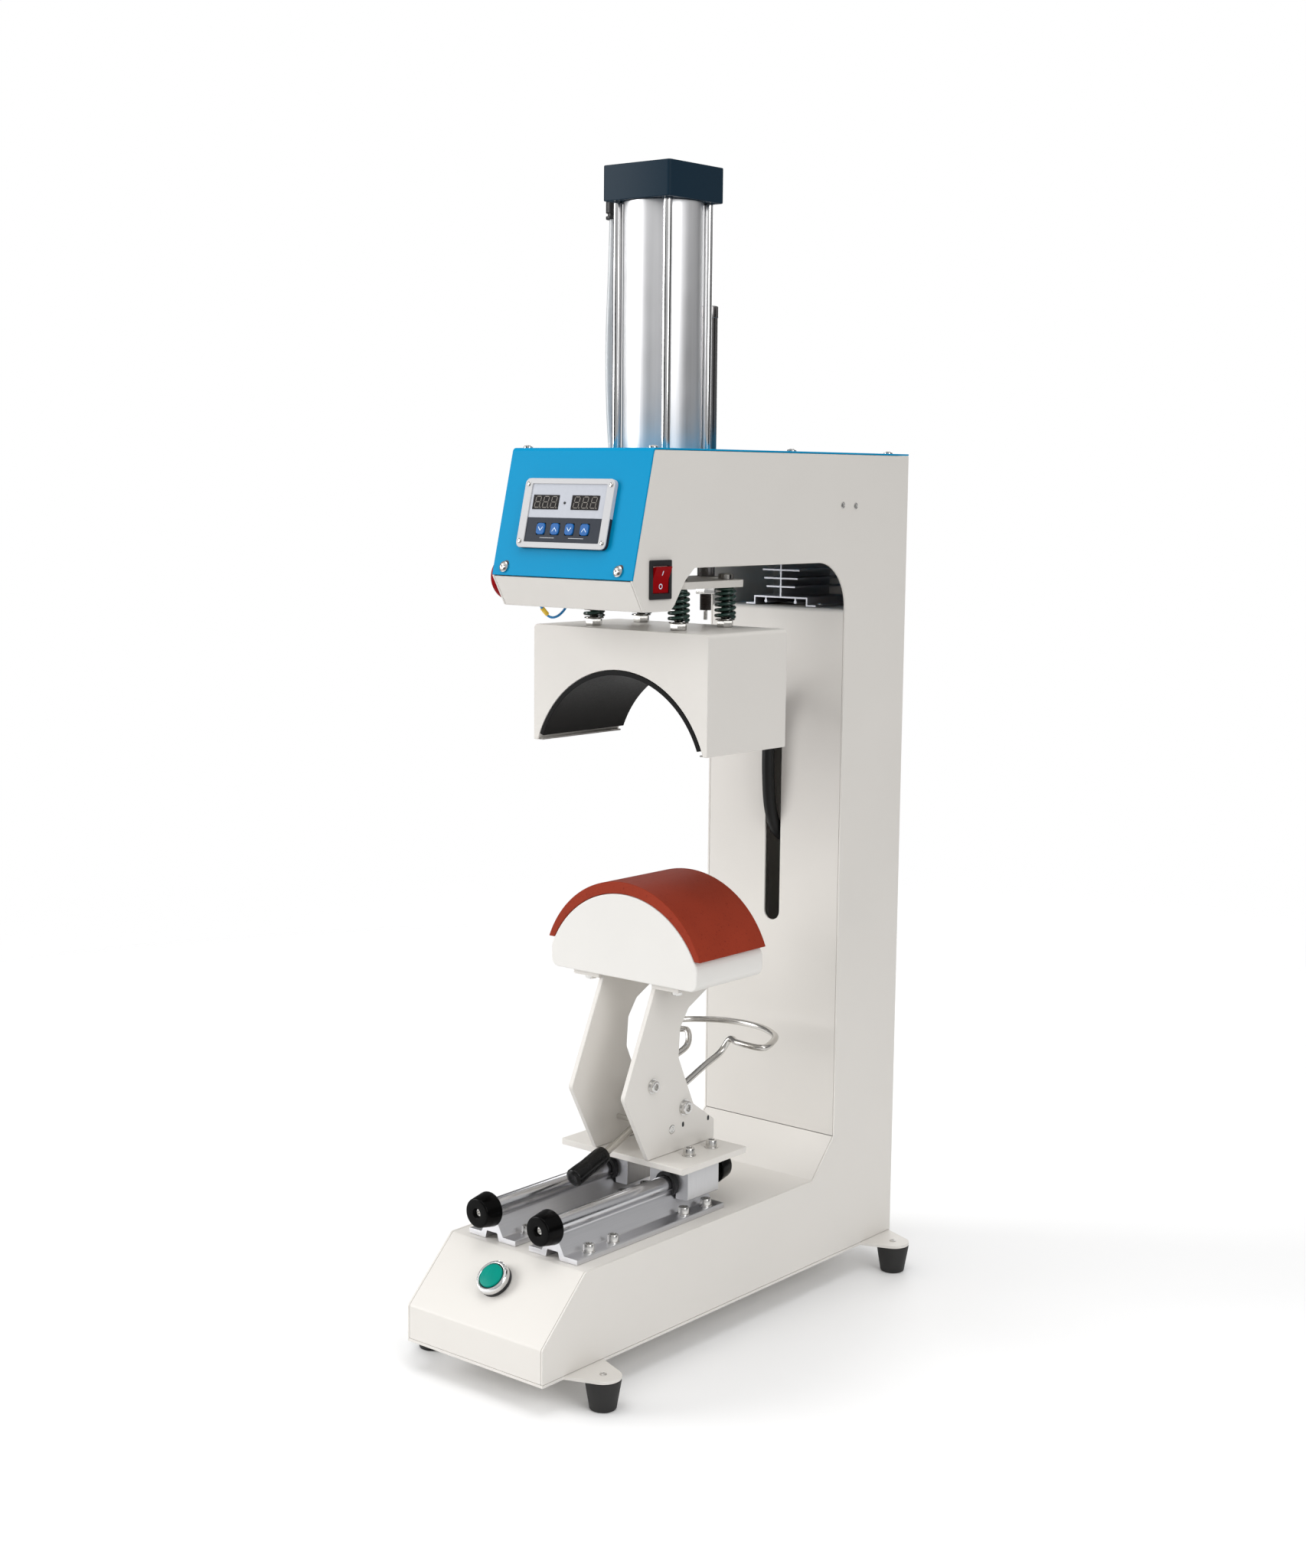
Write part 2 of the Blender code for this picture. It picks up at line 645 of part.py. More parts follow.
for step in range(crown_steps + 1):
    lean = math.pi / 2 * step / crown_steps
    mushroom_profile.append((mushroom_radius * math.cos(lean) if step < crown_steps else 0,
                             estop_stand + mushroom_rim + mushroom_crown * math.sin(lean)))
add_piece("estop_head", turned(mushroom_profile, estop_seat, (-1, 0, 0)), red_plastic, estop_seat, press)

# Start button: a two-step bezel with its neck through the slope, and a cap that is pushed into it
button_x = -0.0030
button_rise = 0.0445
button_ring_radius = 0.0155
button_ring_height = 0.0050
button_bezel_radius = 0.0150
button_bezel_height = 0.0100
button_bevel = 0.0010
button_neck_radius = 0.0110
button_neck_length = 0.0200
button_cap_radius = 0.0110
button_cap_thickness = 0.0030
button_cap_stand = 0.0008
button_stem_radius = 0.0080
button_travel = 0.0035
button_seat = slope_frame @ Vector((button_x, button_rise, 0))
button_axis = slope_frame.to_3x3() @ Vector((0, 0, 1))
button_shoulder = button_bezel_height + button_cap_stand - button_cap_thickness - button_travel - running_gap
add_piece("start_button_bezel",
          turned([(button_stem_radius + running_gap, -button_neck_length), (button_neck_radius, -button_neck_length),
                  (button_neck_radius, seat_gap), (button_ring_radius, seat_gap),
                  (button_ring_radius, button_ring_height), (button_bezel_radius, button_ring_height),
                  (button_bezel_radius, button_bezel_height - button_bevel),
                  (button_bezel_radius - button_bevel, button_bezel_height),
                  (button_cap_radius + running_gap, button_bezel_height),
                  (button_cap_radius + running_gap, button_shoulder),
                  (button_stem_radius + running_gap, button_shoulder)], button_seat, button_axis),
          polished_steel, body_origin, press)
cap_high = button_bezel_height + button_cap_stand
cap_low = cap_high - button_cap_thickness
add_piece("start_button_cap",
          turned([(0, button_travel - button_neck_length), (button_stem_radius, button_travel - button_neck_length),
                  (button_stem_radius, cap_low), (button_cap_radius, cap_low),
                  (button_cap_radius, cap_high - button_bevel), (button_cap_radius - button_bevel, cap_high),
                  (0, cap_high)], button_seat, button_axis), green_plastic, button_seat, press)
cut(base_deck, rod(button_seat, button_axis, button_neck_radius + seat_gap, -panel_sheet - overrun, overrun,
                   round_steps))

# Air cylinder: square end caps, a tube between them and four tie rods
cap_width = 0.0758
cap_corner = 0.0030
bottom_cap_height = 0.0297
barrel_length = 0.2584
top_cap_height = 0.0305
tie_rod_inset = 0.0020
bottom_cap_low = mount_high + seat_gap
bottom_cap_high = bottom_cap_low + bottom_cap_height
barrel_low = bottom_cap_high + seat_gap
barrel_high = barrel_low + barrel_length
top_cap_low = barrel_high + seat_gap
top_cap_high = top_cap_low + top_cap_height
barrel_origin = (0, head_axis_y, 0)
cylinder_bottom_cap = add_piece("cylinder_bottom_cap",
                                plate(0, head_axis_y, cap_width, cap_width, cap_corner, bottom_cap_low,
                                      bottom_cap_high), navy_cast, body_origin, press)
cylinder_top_cap = add_piece("cylinder_top_cap",
                             plate(0, head_axis_y, cap_width, cap_width, cap_corner, top_cap_low, top_cap_high),
                             navy_cast, body_origin, press)
cut(cylinder_bottom_cap, rod(barrel_origin, (0, 0, 1), rod_diameter / 2 + running_gap, bottom_cap_low - overrun,
                             bottom_cap_high + overrun, round_steps))
add_piece("cylinder_barrel",
          turned([(cylinder_bore / 2, barrel_low), (barrel_radius, barrel_low), (barrel_radius, barrel_high),
                  (cylinder_bore / 2, barrel_high)], barrel_origin), aluminium, body_origin, press)
rod_names = ("tie_rod_front_left", "tie_rod_rear_left", "tie_rod_front_right", "tie_rod_rear_right")
rod_places = [(side_x * tie_rod_offset, head_axis_y + side_y * tie_rod_offset, 0)
              for side_x in (-1, 1) for side_y in (-1, 1)]
for rod_name, rod_place in zip(rod_names, rod_places):
    hole_radius = tie_rod_diameter / 2 + running_gap
    cut(cylinder_bottom_cap, rod(rod_place, (0, 0, 1), hole_radius, bottom_cap_low - overrun,
                                 bottom_cap_high + overrun))
    cut(cylinder_top_cap, rod(rod_place, (0, 0, 1), hole_radius, top_cap_low - overrun, top_cap_high + overrun))
    add_piece(rod_name, rod(rod_place, (0, 0, 1), tie_rod_diameter / 2, bottom_cap_low + tie_rod_inset,
                            top_cap_high - tie_rod_inset), bare_steel, rod_place, press)

# Air fitting: a black elbow screwed into the top cap's left face, with a push-in collar at its foot
fitting_rise = 0.0095
fitting_reach = 0.0189
fitting_drop = 0.0205
fitting_radius = 0.0072
fitting_neck_radius = 0.0055
fitting_neck_height = 0.0027
fitting_hex_radius = 0.0078
fitting_hex_length = 0.0050
fitting_ring_height = 0.0028
hose_insert = 0.0120
cap_side = -cap_width / 2 - seat_gap
fitting_x = cap_side - fitting_reach
fitting_z = top_cap_low + fitting_rise
outlet_z = fitting_z - fitting_drop
fitting_bore = hose_diameter / 2 + seat_gap
air_fitting = add_piece("air_fitting",
                        turned([(0, outlet_z + hose_insert), (fitting_bore, outlet_z + hose_insert),
                                (fitting_bore, outlet_z), (fitting_radius, outlet_z),
                                (fitting_radius, outlet_z + fitting_ring_height),
                                (fitting_neck_radius, outlet_z + fitting_ring_height),
                                (fitting_neck_radius, outlet_z + fitting_ring_height + fitting_neck_height),
                                (fitting_radius, outlet_z + fitting_ring_height + fitting_neck_height),
                                (fitting_radius, fitting_z + fitting_radius), (0, fitting_z + fitting_radius)],
                               (fitting_x, head_axis_y, 0), steps=small_steps), black_plastic, body_origin, press)
fuse(air_fitting,
     rod((cap_side, head_axis_y, fitting_z), (-1, 0, 0), fitting_neck_radius, fitting_hex_length / 2, fitting_reach),
     rod((cap_side, head_axis_y, fitting_z), (-1, 0, 0), fitting_hex_radius, 0, fitting_hex_length, 6))

# Air hose: a soft tube from the fitting's collar down through the lid
hose_tail = 0.0150
hose_bow = 0.0040
hose_bow_shares = ((0.79, 0.35), (0.54, 0.92), (0.34, 1.0), (0.14, 0.6))
hose_top = outlet_z + hose_insert - seat_gap
hose_stations = [(fitting_x, head_axis_y, hose_top), (fitting_x, head_axis_y, outlet_z)]
for height_share, bow_share in hose_bow_shares:
    hose_stations.append((hose_entry_x + (fitting_x - hose_entry_x) * height_share - hose_bow * bow_share,
                          hose_entry_y, arm_top + (outlet_z - arm_top) * height_share))
hose_stations += [(hose_entry_x, hose_entry_y, arm_top), (hose_entry_x, hose_entry_y, arm_top - hose_tail)]
add_tube("air_hose", smooth_route(hose_stations, 3), hose_diameter / 2, 2, grey_hose,
         (hose_entry_x, hose_entry_y, arm_top), press)

# Heatsink: a finned section lying along Y on the post's shelf
heatsink_x = -0.0020
heatsink_length = 0.0800
heatsink_start = 0.0089
heatsink_flange_reach = 0.0415
heatsink_leg = 0.0300
heatsink_wall = 0.0018
heatsink_base = 0.0088
heatsink_top = 0.0400
heatsink_stem = 0.0020
fin_shares = ((0.425, 0.41), (0.625, 0.48), (0.825, 0.53))
sink_half = [(heatsink_leg, 0), (heatsink_flange_reach, 0), (heatsink_flange_reach, heatsink_wall),
             (heatsink_leg + heatsink_wall, heatsink_wall), (heatsink_leg + heatsink_wall, heatsink_base),
             (heatsink_stem / 2, heatsink_base)]
for fin_height_share, fin_reach_share in fin_shares:
    fin_low = heatsink_top * fin_height_share
    fin_reach = heatsink_flange_reach * fin_reach_share
    sink_half += [(heatsink_stem / 2, fin_low), (fin_reach, fin_low), (fin_reach, fin_low + heatsink_wall),
                  (heatsink_stem / 2, fin_low + heatsink_wall)]
sink_half.append((heatsink_stem / 2, heatsink_top))
sink_outline = [(heatsink_leg, heatsink_base - heatsink_wall)] + sink_half
sink_outline += [(-x, z) for x, z in reversed(sink_outline)]
sink_outline = [(heatsink_x + x, shelf_top + seat_gap + z) for x, z in sink_outline]
heatsink_low = post_front + heatsink_start
add_piece("heatsink", prism(sink_outline, "Y", heatsink_low, heatsink_low + heatsink_length), aluminium,
          body_origin, press)

# Rails: round shafts on aluminium supports that stand on the deck
support_width = 0.0560
support_flange = 0.0047
support_foot_width = 0.0260
support_neck_width = 0.0090
support_neck_z = 0.0080
support_cavity_width = 0.0160
support_cavity_height = 0.0070
support_length = 0.2050
rail_low = deck_height + seat_gap
support_half = [(support_cavity_width / 2, rail_low), (support_width / 2, rail_low),
                (support_width / 2, rail_low + support_flange), (support_foot_width / 2, rail_low + support_flange),
                (support_neck_width / 2, shaft_z - support_neck_z), (support_neck_width / 2, shaft_z)]
support_outline = ([(support_cavity_width / 2, rail_low + support_cavity_height)] + support_half)
support_outline += [(-x, z) for x, z in reversed(support_outline)]
shaft_back = shaft_front + shaft_length
for rail_name, side in (("rail_left", -1), ("rail_right", 1)):
    rail_x = side * rail_spacing / 2
    rail = add_piece(rail_name, prism([(rail_x + x, z) for x, z in support_outline], "Y", shaft_front + overrun,
                                      shaft_front + support_length),
                     aluminium, (rail_x, shaft_front, shaft_z), press)
    fuse(rail, rod((rail_x, 0, shaft_z), (0, 1, 0), shaft_diameter / 2, shaft_front, shaft_back, round_steps))

# Bumpers: rubber cones bolted to both ends of each shaft
bumper_length = 0.0172
bumper_rim_radius = 0.0160
bumper_nose_radius = 0.0130
bumper_hole_radius = 0.0040
bumper_hole_depth = 0.0050
bumper_profile = [(0, 0), (bumper_rim_radius, 0), (bumper_nose_radius, bumper_length),
                  (bumper_hole_radius, bumper_length), (bumper_hole_radius, bumper_length - bumper_hole_depth),
                  (0, bumper_length - bumper_hole_depth)]
for bumper_name, side, bumper_y, facing in (("bumper_front_left", -1, shaft_front - seat_gap, -1),
                                            ("bumper_front_right", 1, shaft_front - seat_gap, -1),
                                            ("bumper_rear_left", -1, shaft_back + seat_gap, 1),
                                            ("bumper_rear_right", 1, shaft_back + seat_gap, 1)):
    bumper_place = (side * rail_spacing / 2, bumper_y, shaft_z)
    add_piece(bumper_name, turned(bumper_profile, bumper_place, (0, facing, 0)), black_rubber, bumper_place, press)

# Carriage blocks: open bearing blocks round the shafts, with a seal at each end
block_width = 0.0450
block_length = 0.0450
block_height = 0.0329
block_top_rise = 0.0199
seal_radius = 0.0120
seal_length = 0.0050
block_top = shaft_z + block_top_rise
bore_radius = shaft_diameter / 2 + running_gap
block_corner = 0.0015

block_low = block_top - block_height
keyhole = ([(bore_radius, block_low - overrun)] + arc(0, shaft_z, bore_radius, 0, math.pi, round_steps // 2)
           + [(-bore_radius, block_low - overrun)])
block_front = stand_y - block_length / 2
block_back = stand_y + block_length / 2
for block_name, side in (("carriage_block_left", -1), ("carriage_block_right", 1)):
    block_x = side * rail_spacing / 2
    block_corners = [(block_x - block_width / 2, block_low, block_corner),
                     (block_x + block_width / 2, block_low, block_corner),
                     (block_x + block_width / 2, block_top, block_corner),
                     (block_x - block_width / 2, block_top, block_corner)]
    block = add_piece(block_name, prism(rounded(block_corners), "Y", block_front, block_back), aluminium,
                      (block_x, stand_y, shaft_z), stand_holder)
    fuse(block, rod((block_x, stand_y, shaft_z), (0, 1, 0), seal_radius, -block_length / 2 - seal_length,
                    block_length / 2 + seal_length, round_steps))
    cut(block, prism([(block_x + x, z) for x, z in keyhole], "Y", block_front - seal_length - overrun,
                     block_back + seal_length + overrun))

# Stand base plate: bolted across both blocks
stand_plate_width = 0.1460
stand_plate_depth = 0.0940
stand_plate_thickness = 0.0058
stand_plate_shift = -0.0010
stand_plate_corner = 0.0020
stand_plate_y = stand_y + stand_plate_shift
stand_plate_low = block_top + seat_gap
stand_plate_high = stand_plate_low + stand_plate_thickness
add_piece("stand_base_plate",
          plate(0, stand_plate_y, stand_plate_width, stand_plate_depth, stand_plate_corner, stand_plate_low,
                stand_plate_high), cream_paint, (0, stand_y, shaft_z), stand_holder)

# Stand side plates: waisted uprights, each with a flange turned outward under the platen
upright_spacing = 0.0620
upright_thickness = 0.0050
upright_height = 0.1619
upright_flange_reach = 0.0335
upright_flange_thickness = 0.0042
upright_flange_front = 0.0440
upright_flange_depth = 0.0880
upright_round = 0.0060
upright_shares = ((-0.011, 0, 0), (-0.372, 0.390, 1), (0.085, 0.980, 0), (0.085, 1, 0), (0.936, 1, 0),
                  (0.936, 0.960, 0.5), (0.910, 0.904, 1), (0.584, 0.810, 1), (0.460, 0.710, 1),
                  (0.437, 0.542, 1), (0.677, 0.244, 1), (1.005, 0.114, 0.5), (1.005, 0, 0))
upright_low = stand_plate_high + seat_gap
upright_high = upright_low + upright_height
plate_front = stand_plate_y - stand_plate_depth / 2
upright_outline = rounded([(plate_front + share_y * stand_plate_depth, upright_low + share_z * upright_height,
                            upright_round * round_share) for share_y, share_z, round_share in upright_shares])
for upright_name, side in (("stand_side_plate_left", -1), ("stand_side_plate_right", 1)):
    inner_face = side * (upright_spacing - upright_thickness) / 2
    outer_face = side * (upright_spacing + upright_thickness) / 2
    upright = add_piece(upright_name, prism(upright_outline, "X", inner_face, outer_face), cream_paint,
                        (0, stand_y, shaft_z), stand_holder)
    fuse(upright, box(inner_face + side * upright_thickness / 2, inner_face + side * upright_flange_reach,
                      stand_y - upright_flange_front, stand_y - upright_flange_front + upright_flange_depth,
                      upright_high - upright_flange_thickness, upright_high))

# Lower platen: a painted aluminium block with a round back, under a thick silicone pad
platen_width = 0.1720
platen_apex = 0.0774
platen_wall_share = 0.969
platen_corner = 0.0080
pad_eccentricity = 0.0081
pad_edge_rise = 0.0350
arch_steps = 28
platen_low = upright_high + seat_gap
platen_radius = press_radius * platen_wall_share
platen_centre_z = platen_low + platen_apex - platen_radius
platen_front = stand_y - press_depth / 2
platen_back = stand_y + press_depth / 2
platen_edge = math.acos(platen_width / 2 / platen_radius)
platen_arch = arc(0, platen_centre_z, platen_radius, platen_edge, math.pi - platen_edge, arch_steps)
platen_corners = [(-platen_width / 2, platen_low, platen_corner), (platen_width / 2, platen_low, platen_corner)]
platen_corners += [(x, z, 0) for x, z in platen_arch]
add_piece("lower_platen", prism(rounded(platen_corners), "Y", platen_front, platen_back), cream_paint,
          (0, stand_y, shaft_z), stand_holder)
pad_centre_z = platen_centre_z + pad_eccentricity
pad_inner_radius = platen_radius + seat_gap
pad_edge_z = pad_centre_z + pad_edge_rise
pad_outer_edge = math.asin(pad_edge_rise / press_radius)
pad_inner_edge = math.asin((pad_edge_z - platen_centre_z) / pad_inner_radius)
pad_outline = (arc(0, pad_centre_z, press_radius, pad_outer_edge, math.pi - pad_outer_edge, arch_steps)
               + arc(0, platen_centre_z, pad_inner_radius, math.pi - pad_inner_edge, pad_inner_edge, arch_steps))
add_piece("silicone_pad", prism(pad_outline, "Y", platen_front, platen_back), rust_silicone,
          (0, stand_y, shaft_z), stand_holder)

# Lever: a cross shaft between the uprights with a bar to the front, and a rubber grip on the bar
upright_clear = (upright_spacing - upright_thickness) / 2 - seat_gap
lever_shaft_diameter = 0.0120
lever_boss_diameter = 0.0200
lever_boss_length = 0.0180
lever_bar_diameter = 0.0070
lever_bar_slope = math.radians(21.6)
lever_bar_drop = 0.0050
lever_bar_length = 0.0740
lever_grip_slope = math.radians(17.5)
lever_grip_diameter = 0.0172
lever_grip_length = 0.0510
lever_grip_wall = 0.0030
lever_bar_way = Vector((0, -math.cos(lever_bar_slope), -math.sin(lever_bar_slope)))
lever_grip_way = Vector((0, -math.cos(lever_grip_slope), -math.sin(lever_grip_slope)))
bar_start = lever_pivot + Vector((0, -lever_bar_way.z, lever_bar_way.y)) * lever_bar_drop
bar_bend = bar_start + lever_bar_way * lever_bar_length
bar_end = bar_bend + lever_grip_way * (lever_grip_length - lever_grip_wall)
lever = add_piece("lever", rod(lever_pivot, (1, 0, 0), lever_shaft_diameter / 2, -upright_clear, upright_clear),
                  bare_steel, lever_pivot, lever_holder)
fuse(lever,
     rod(lever_pivot, (1, 0, 0), lever_boss_diameter / 2, -lever_boss_length / 2, lever_boss_length / 2, round_steps),
     tube_shape([bar_start, bar_start.lerp(bar_bend, 0.5), bar_bend, bar_bend.lerp(bar_end, 0.5), bar_end],
                lever_bar_diameter / 2))
grip_bore = lever_bar_diameter / 2 + running_gap
grip_start = bar_bend + lever_grip_way * lever_bar_diameter
grip_reach = lever_grip_length - lever_bar_diameter
add_piece("lever_grip",
          turned([(grip_bore, 0), (lever_grip_diameter / 2 - lever_grip_wall / 3, 0),
                  (lever_grip_diameter / 2, lever_grip_wall / 3),
                  (lever_grip_diameter / 2, grip_reach - lever_grip_wall / 3),
                  (lever_grip_diameter / 2 - lever_grip_wall / 3, grip_reach), (grip_bore, grip_reach)],
                 grip_start, lever_grip_way), black_rubber, lever_pivot, lever_holder)

# Wire holder: one bent bar, from the lever's shaft back and round in a hoop that holds a cap's edge
wire_diameter = 0.0060
wire_leg_x = 0.0200
wire_leg_slope = math.radians(20.7)
wire_leg_front = 0.0070
wire_leg_length = 0.0780
wire_knee = 0.0040
wire_hoop_radius = 0.0700
wire_hoop_y = 0.0660
wire_hoop_z = 0.0478
wire_hook_shares = ((0.37, 0.157), (0.54, 0.086), (0.74, 0.057), (0.914, 0.057), (0.985, 0.16))
leg_way = Vector((0, math.cos(wire_leg_slope), math.sin(wire_leg_slope)))
leg_up = Vector((0, -leg_way.z, leg_way.y))
leg_offset = lever_shaft_diameter / 2 + wire_diameter / 2 + seat_gap
leg_root = lever_pivot + leg_up * leg_offset + Vector((wire_leg_x, 0, 0))
wire_half = [leg_root - leg_way * wire_leg_front,
             leg_root,
             leg_root + leg_way * (wire_leg_length / 3),
             leg_root + leg_way * (wire_leg_length * 2 / 3),
             leg_root + leg_way * wire_leg_length + Vector((0, 0, -wire_knee / 4))]
hoop_centre = lever_pivot + Vector((0, wire_hoop_y, wire_hoop_z))
for across_share, back_share in wire_hook_shares:
    wire_half.append(hoop_centre + Vector((across_share, back_share, 0)) * wire_hoop_radius)
hoop_rear = []
hoop_steps = 9
for step in range(1, hoop_steps):
    hoop_angle = math.radians(22) + (math.pi - 2 * math.radians(22)) * step / hoop_steps
    hoop_rear.append(hoop_centre + Vector((math.cos(hoop_angle), math.sin(hoop_angle), 0)) * wire_hoop_radius)
wire_stations = wire_half + hoop_rear + [Vector((-point.x, point.y, point.z)) for point in reversed(wire_half)]
add_piece("wire_holder", tube_shape(smooth_route(wire_stations, 2), wire_diameter / 2, 8), bare_steel,
          lever_pivot, lever_holder)

# Press head: the piston and its rod, the pressure plate it carries and the guide rod beside it
pressure_plate_width = 0.1280
pressure_plate_depth = 0.0840
pressure_plate_thickness = 0.0065
pressure_plate_corner = 0.0040
tongue_width = 0.0360
tongue_reach = 0.0150
plate_top = arm_underside - head_drop
plate_low = plate_top - pressure_plate_thickness
piston_thickness = 0.0250
piston_headroom = 0.0067
coupling_flats = 0.0300
coupling_height = 0.0120
head_origin = (0, head_axis_y, plate_top)
tongue_half = tongue_width / 2
plate_half = pressure_plate_width / 2
plate_rear = head_axis_y + pressure_plate_depth / 2
plate_corners = [(-plate_half, plate_rear - pressure_plate_depth, pressure_plate_corner),
                 (plate_half, plate_rear - pressure_plate_depth, pressure_plate_corner),
                 (plate_half, plate_rear, pressure_plate_corner), (tongue_half, plate_rear, pressure_plate_corner),
                 (tongue_half, guide_y + tongue_reach, pressure_plate_corner),
                 (-tongue_half, guide_y + tongue_reach, pressure_plate_corner),
                 (-tongue_half, plate_rear, pressure_plate_corner), (-plate_half, plate_rear, pressure_plate_corner)]
pressure_plate = add_piece("pressure_plate", prism(rounded(plate_corners), "Z", plate_low, plate_top), cream_paint,
                           head_origin, head_holder)
piston_high = barrel_high - piston_headroom
piston_low = piston_high - piston_thickness
piston_radius = cylinder_bore / 2 - running_gap
piston_rod = add_piece("piston_rod",
                       turned([(0, plate_top + seat_gap), (rod_diameter / 2, plate_top + seat_gap),
                               (rod_diameter / 2, piston_low), (piston_radius, piston_low),
                               (piston_radius, piston_high), (0, piston_high)], (0, head_axis_y, 0)),
                       polished_steel, head_origin, head_holder)
fuse(piston_rod, rod((0, head_axis_y, 0), (0, 0, 1), coupling_flats / math.sqrt(3), plate_top + seat_gap,
                     plate_top + seat_gap + coupling_height, 6))

guide_top_rise = 0.2432
collar_radius = 0.0084
collar_height = 0.0104
collar_edge = 0.0010
guide_stud_radius = 0.0053
guide_nut_radius = 0.0090
guide_nut_height = 0.0092
guide_stud_drop = 0.0244
guide_pin_radius = 0.0018
guide_pin_drop = 0.0090
guide_top = plate_top + guide_top_rise
nut_high = plate_low - seat_gap
stud_low = plate_low - guide_stud_drop
guide_rod = add_piece("guide_rod",
                      turned([(0, stud_low - guide_pin_drop), (guide_pin_radius, stud_low - guide_pin_drop),
                              (guide_pin_radius, stud_low), (guide_stud_radius, stud_low),
                              (guide_stud_radius, nut_high - guide_nut_height),
                              (guide_nut_radius, nut_high - guide_nut_height), (guide_nut_radius, nut_high),
                              (guide_stud_radius, nut_high), (guide_stud_radius, plate_top + seat_gap),
                              (guide_diameter / 2, plate_top + seat_gap),
                              (guide_diameter / 2, guide_top - collar_height),
                              (collar_radius, guide_top - collar_height), (collar_radius, guide_top - collar_edge),
                              (collar_radius - collar_edge, guide_top), (0, guide_top)],
                             (0, guide_y, 0), steps=small_steps),
                      polished_steel, head_origin, head_holder)
cut(pressure_plate, rod((0, guide_y, 0), (0, 0, 1), guide_stud_radius + seat_gap,
                        plate_low - overrun, plate_top + overrun))

# Heated platen: a sheet cover over the curved heater, hung by four studs from the pressure plate
press_clearance = 0.0005
heater_thickness = 0.0043
heater_half_angle = math.radians(68)
cover_side_gap = 0.0002
cover_sheet = 0.0015
cover_headroom = 0.0367
cover_skirt_rise = 0.0319
cover_end_reach = 0.0085
cover_round = 0.0040
lip_reach = 0.0080
arch_gap = 0.0004
nut_flats = 0.0130
nut_height = 0.0065
washer_radius = 0.0095
washer_height = 0.0010
spring_room = 0.0289
stud_radius = 0.0040
stud_hole_clearance = 0.0004
head_radius = 0.0070
head_height = 0.0050
head_crown_share = 0.55
cover_top = plate_low - spring_room - washer_height - nut_height
heater_inner = press_radius + press_clearance
heater_outer = heater_inner + heater_thickness
heater_z = cover_top - cover_headroom - heater_outer
cover_half = heater_outer + cover_side_gap
cover_low = heater_z + cover_skirt_rise
cover_depth = press_depth + cover_end_reach * 2
cover_front = head_axis_y - cover_depth / 2
cover_back = head_axis_y + cover_depth / 2
cover_corners = [(-cover_half, cover_low, 0), (cover_half, cover_low, 0), (cover_half, cover_top, cover_round),
                 (-cover_half, cover_top, cover_round)]
heater_cover = add_piece("heater_cover", prism(rounded(cover_corners), "Y", cover_front, cover_back), cream_paint,
                         head_origin, platen_holder)
cut(heater_cover,
    box(cover_sheet - cover_half, cover_half - cover_sheet, cover_front + cover_sheet, cover_back - cover_sheet,
        cover_low - overrun, cover_top - cover_sheet),
    rod((0, head_axis_y, heater_z), (0, 1, 0), heater_outer + arch_gap, -cover_depth / 2 - overrun,
        cover_depth / 2 + overrun, arch_steps * 2))
for side in (-1, 1):
    lip_ends = sorted((side * (cover_half - cover_sheet / 2), side * (cover_half - cover_sheet - lip_reach)))
    fuse(heater_cover, box(*lip_ends, cover_front + cover_sheet / 2, cover_back - cover_sheet / 2, cover_low,
                           cover_low + cover_sheet))
washer_low = cover_top + nut_height
spring_low = washer_low + washer_height
stud_profile = [(0, cover_top - cover_sheet * 2), (stud_radius, cover_top - cover_sheet * 2),
                (stud_radius, washer_low), (washer_radius, washer_low), (washer_radius, spring_low),
                (stud_radius, spring_low), (stud_radius, plate_top + seat_gap), (head_radius, plate_top + seat_gap),
                (head_radius, plate_top + seat_gap + head_height * (1 - head_crown_share)),
                (head_radius * head_crown_share, plate_top + seat_gap + head_height),
                (0, plate_top + seat_gap + head_height)]
spring_names = ("spring_front_left", "spring_rear_left", "spring_front_right", "spring_rear_right")
bolt_places = [(side_x * bolt_spacing_x / 2, head_axis_y + side_y * bolt_spacing_y / 2, 0)
               for side_x in (-1, 1) for side_y in (-1, 1)]
for bolt_place in bolt_places:
    fuse(heater_cover,
         turned(stud_profile, bolt_place, steps=small_steps),
         rod(bolt_place, (0, 0, 1), nut_flats / math.sqrt(3), cover_top - cover_sheet / 2,
             washer_low + washer_height / 2, 6))
    cut(pressure_plate, rod(bolt_place, (0, 0, 1), stud_radius + stud_hole_clearance, plate_low - overrun,
                            plate_top + overrun))

# Heater: a curved plate that fills the cover's arch and closes onto the pad
heater_outline = (arc(0, heater_z, heater_outer, math.pi / 2 - heater_half_angle,
                      math.pi / 2 + heater_half_angle, arch_steps)
                  + arc(0, heater_z, heater_inner, math.pi / 2 + heater_half_angle,
                        math.pi / 2 - heater_half_angle, arch_steps))
add_piece("heater_element", prism(heater_outline, "Y", cover_front, cover_back), black_coating, head_origin,
          platen_holder)

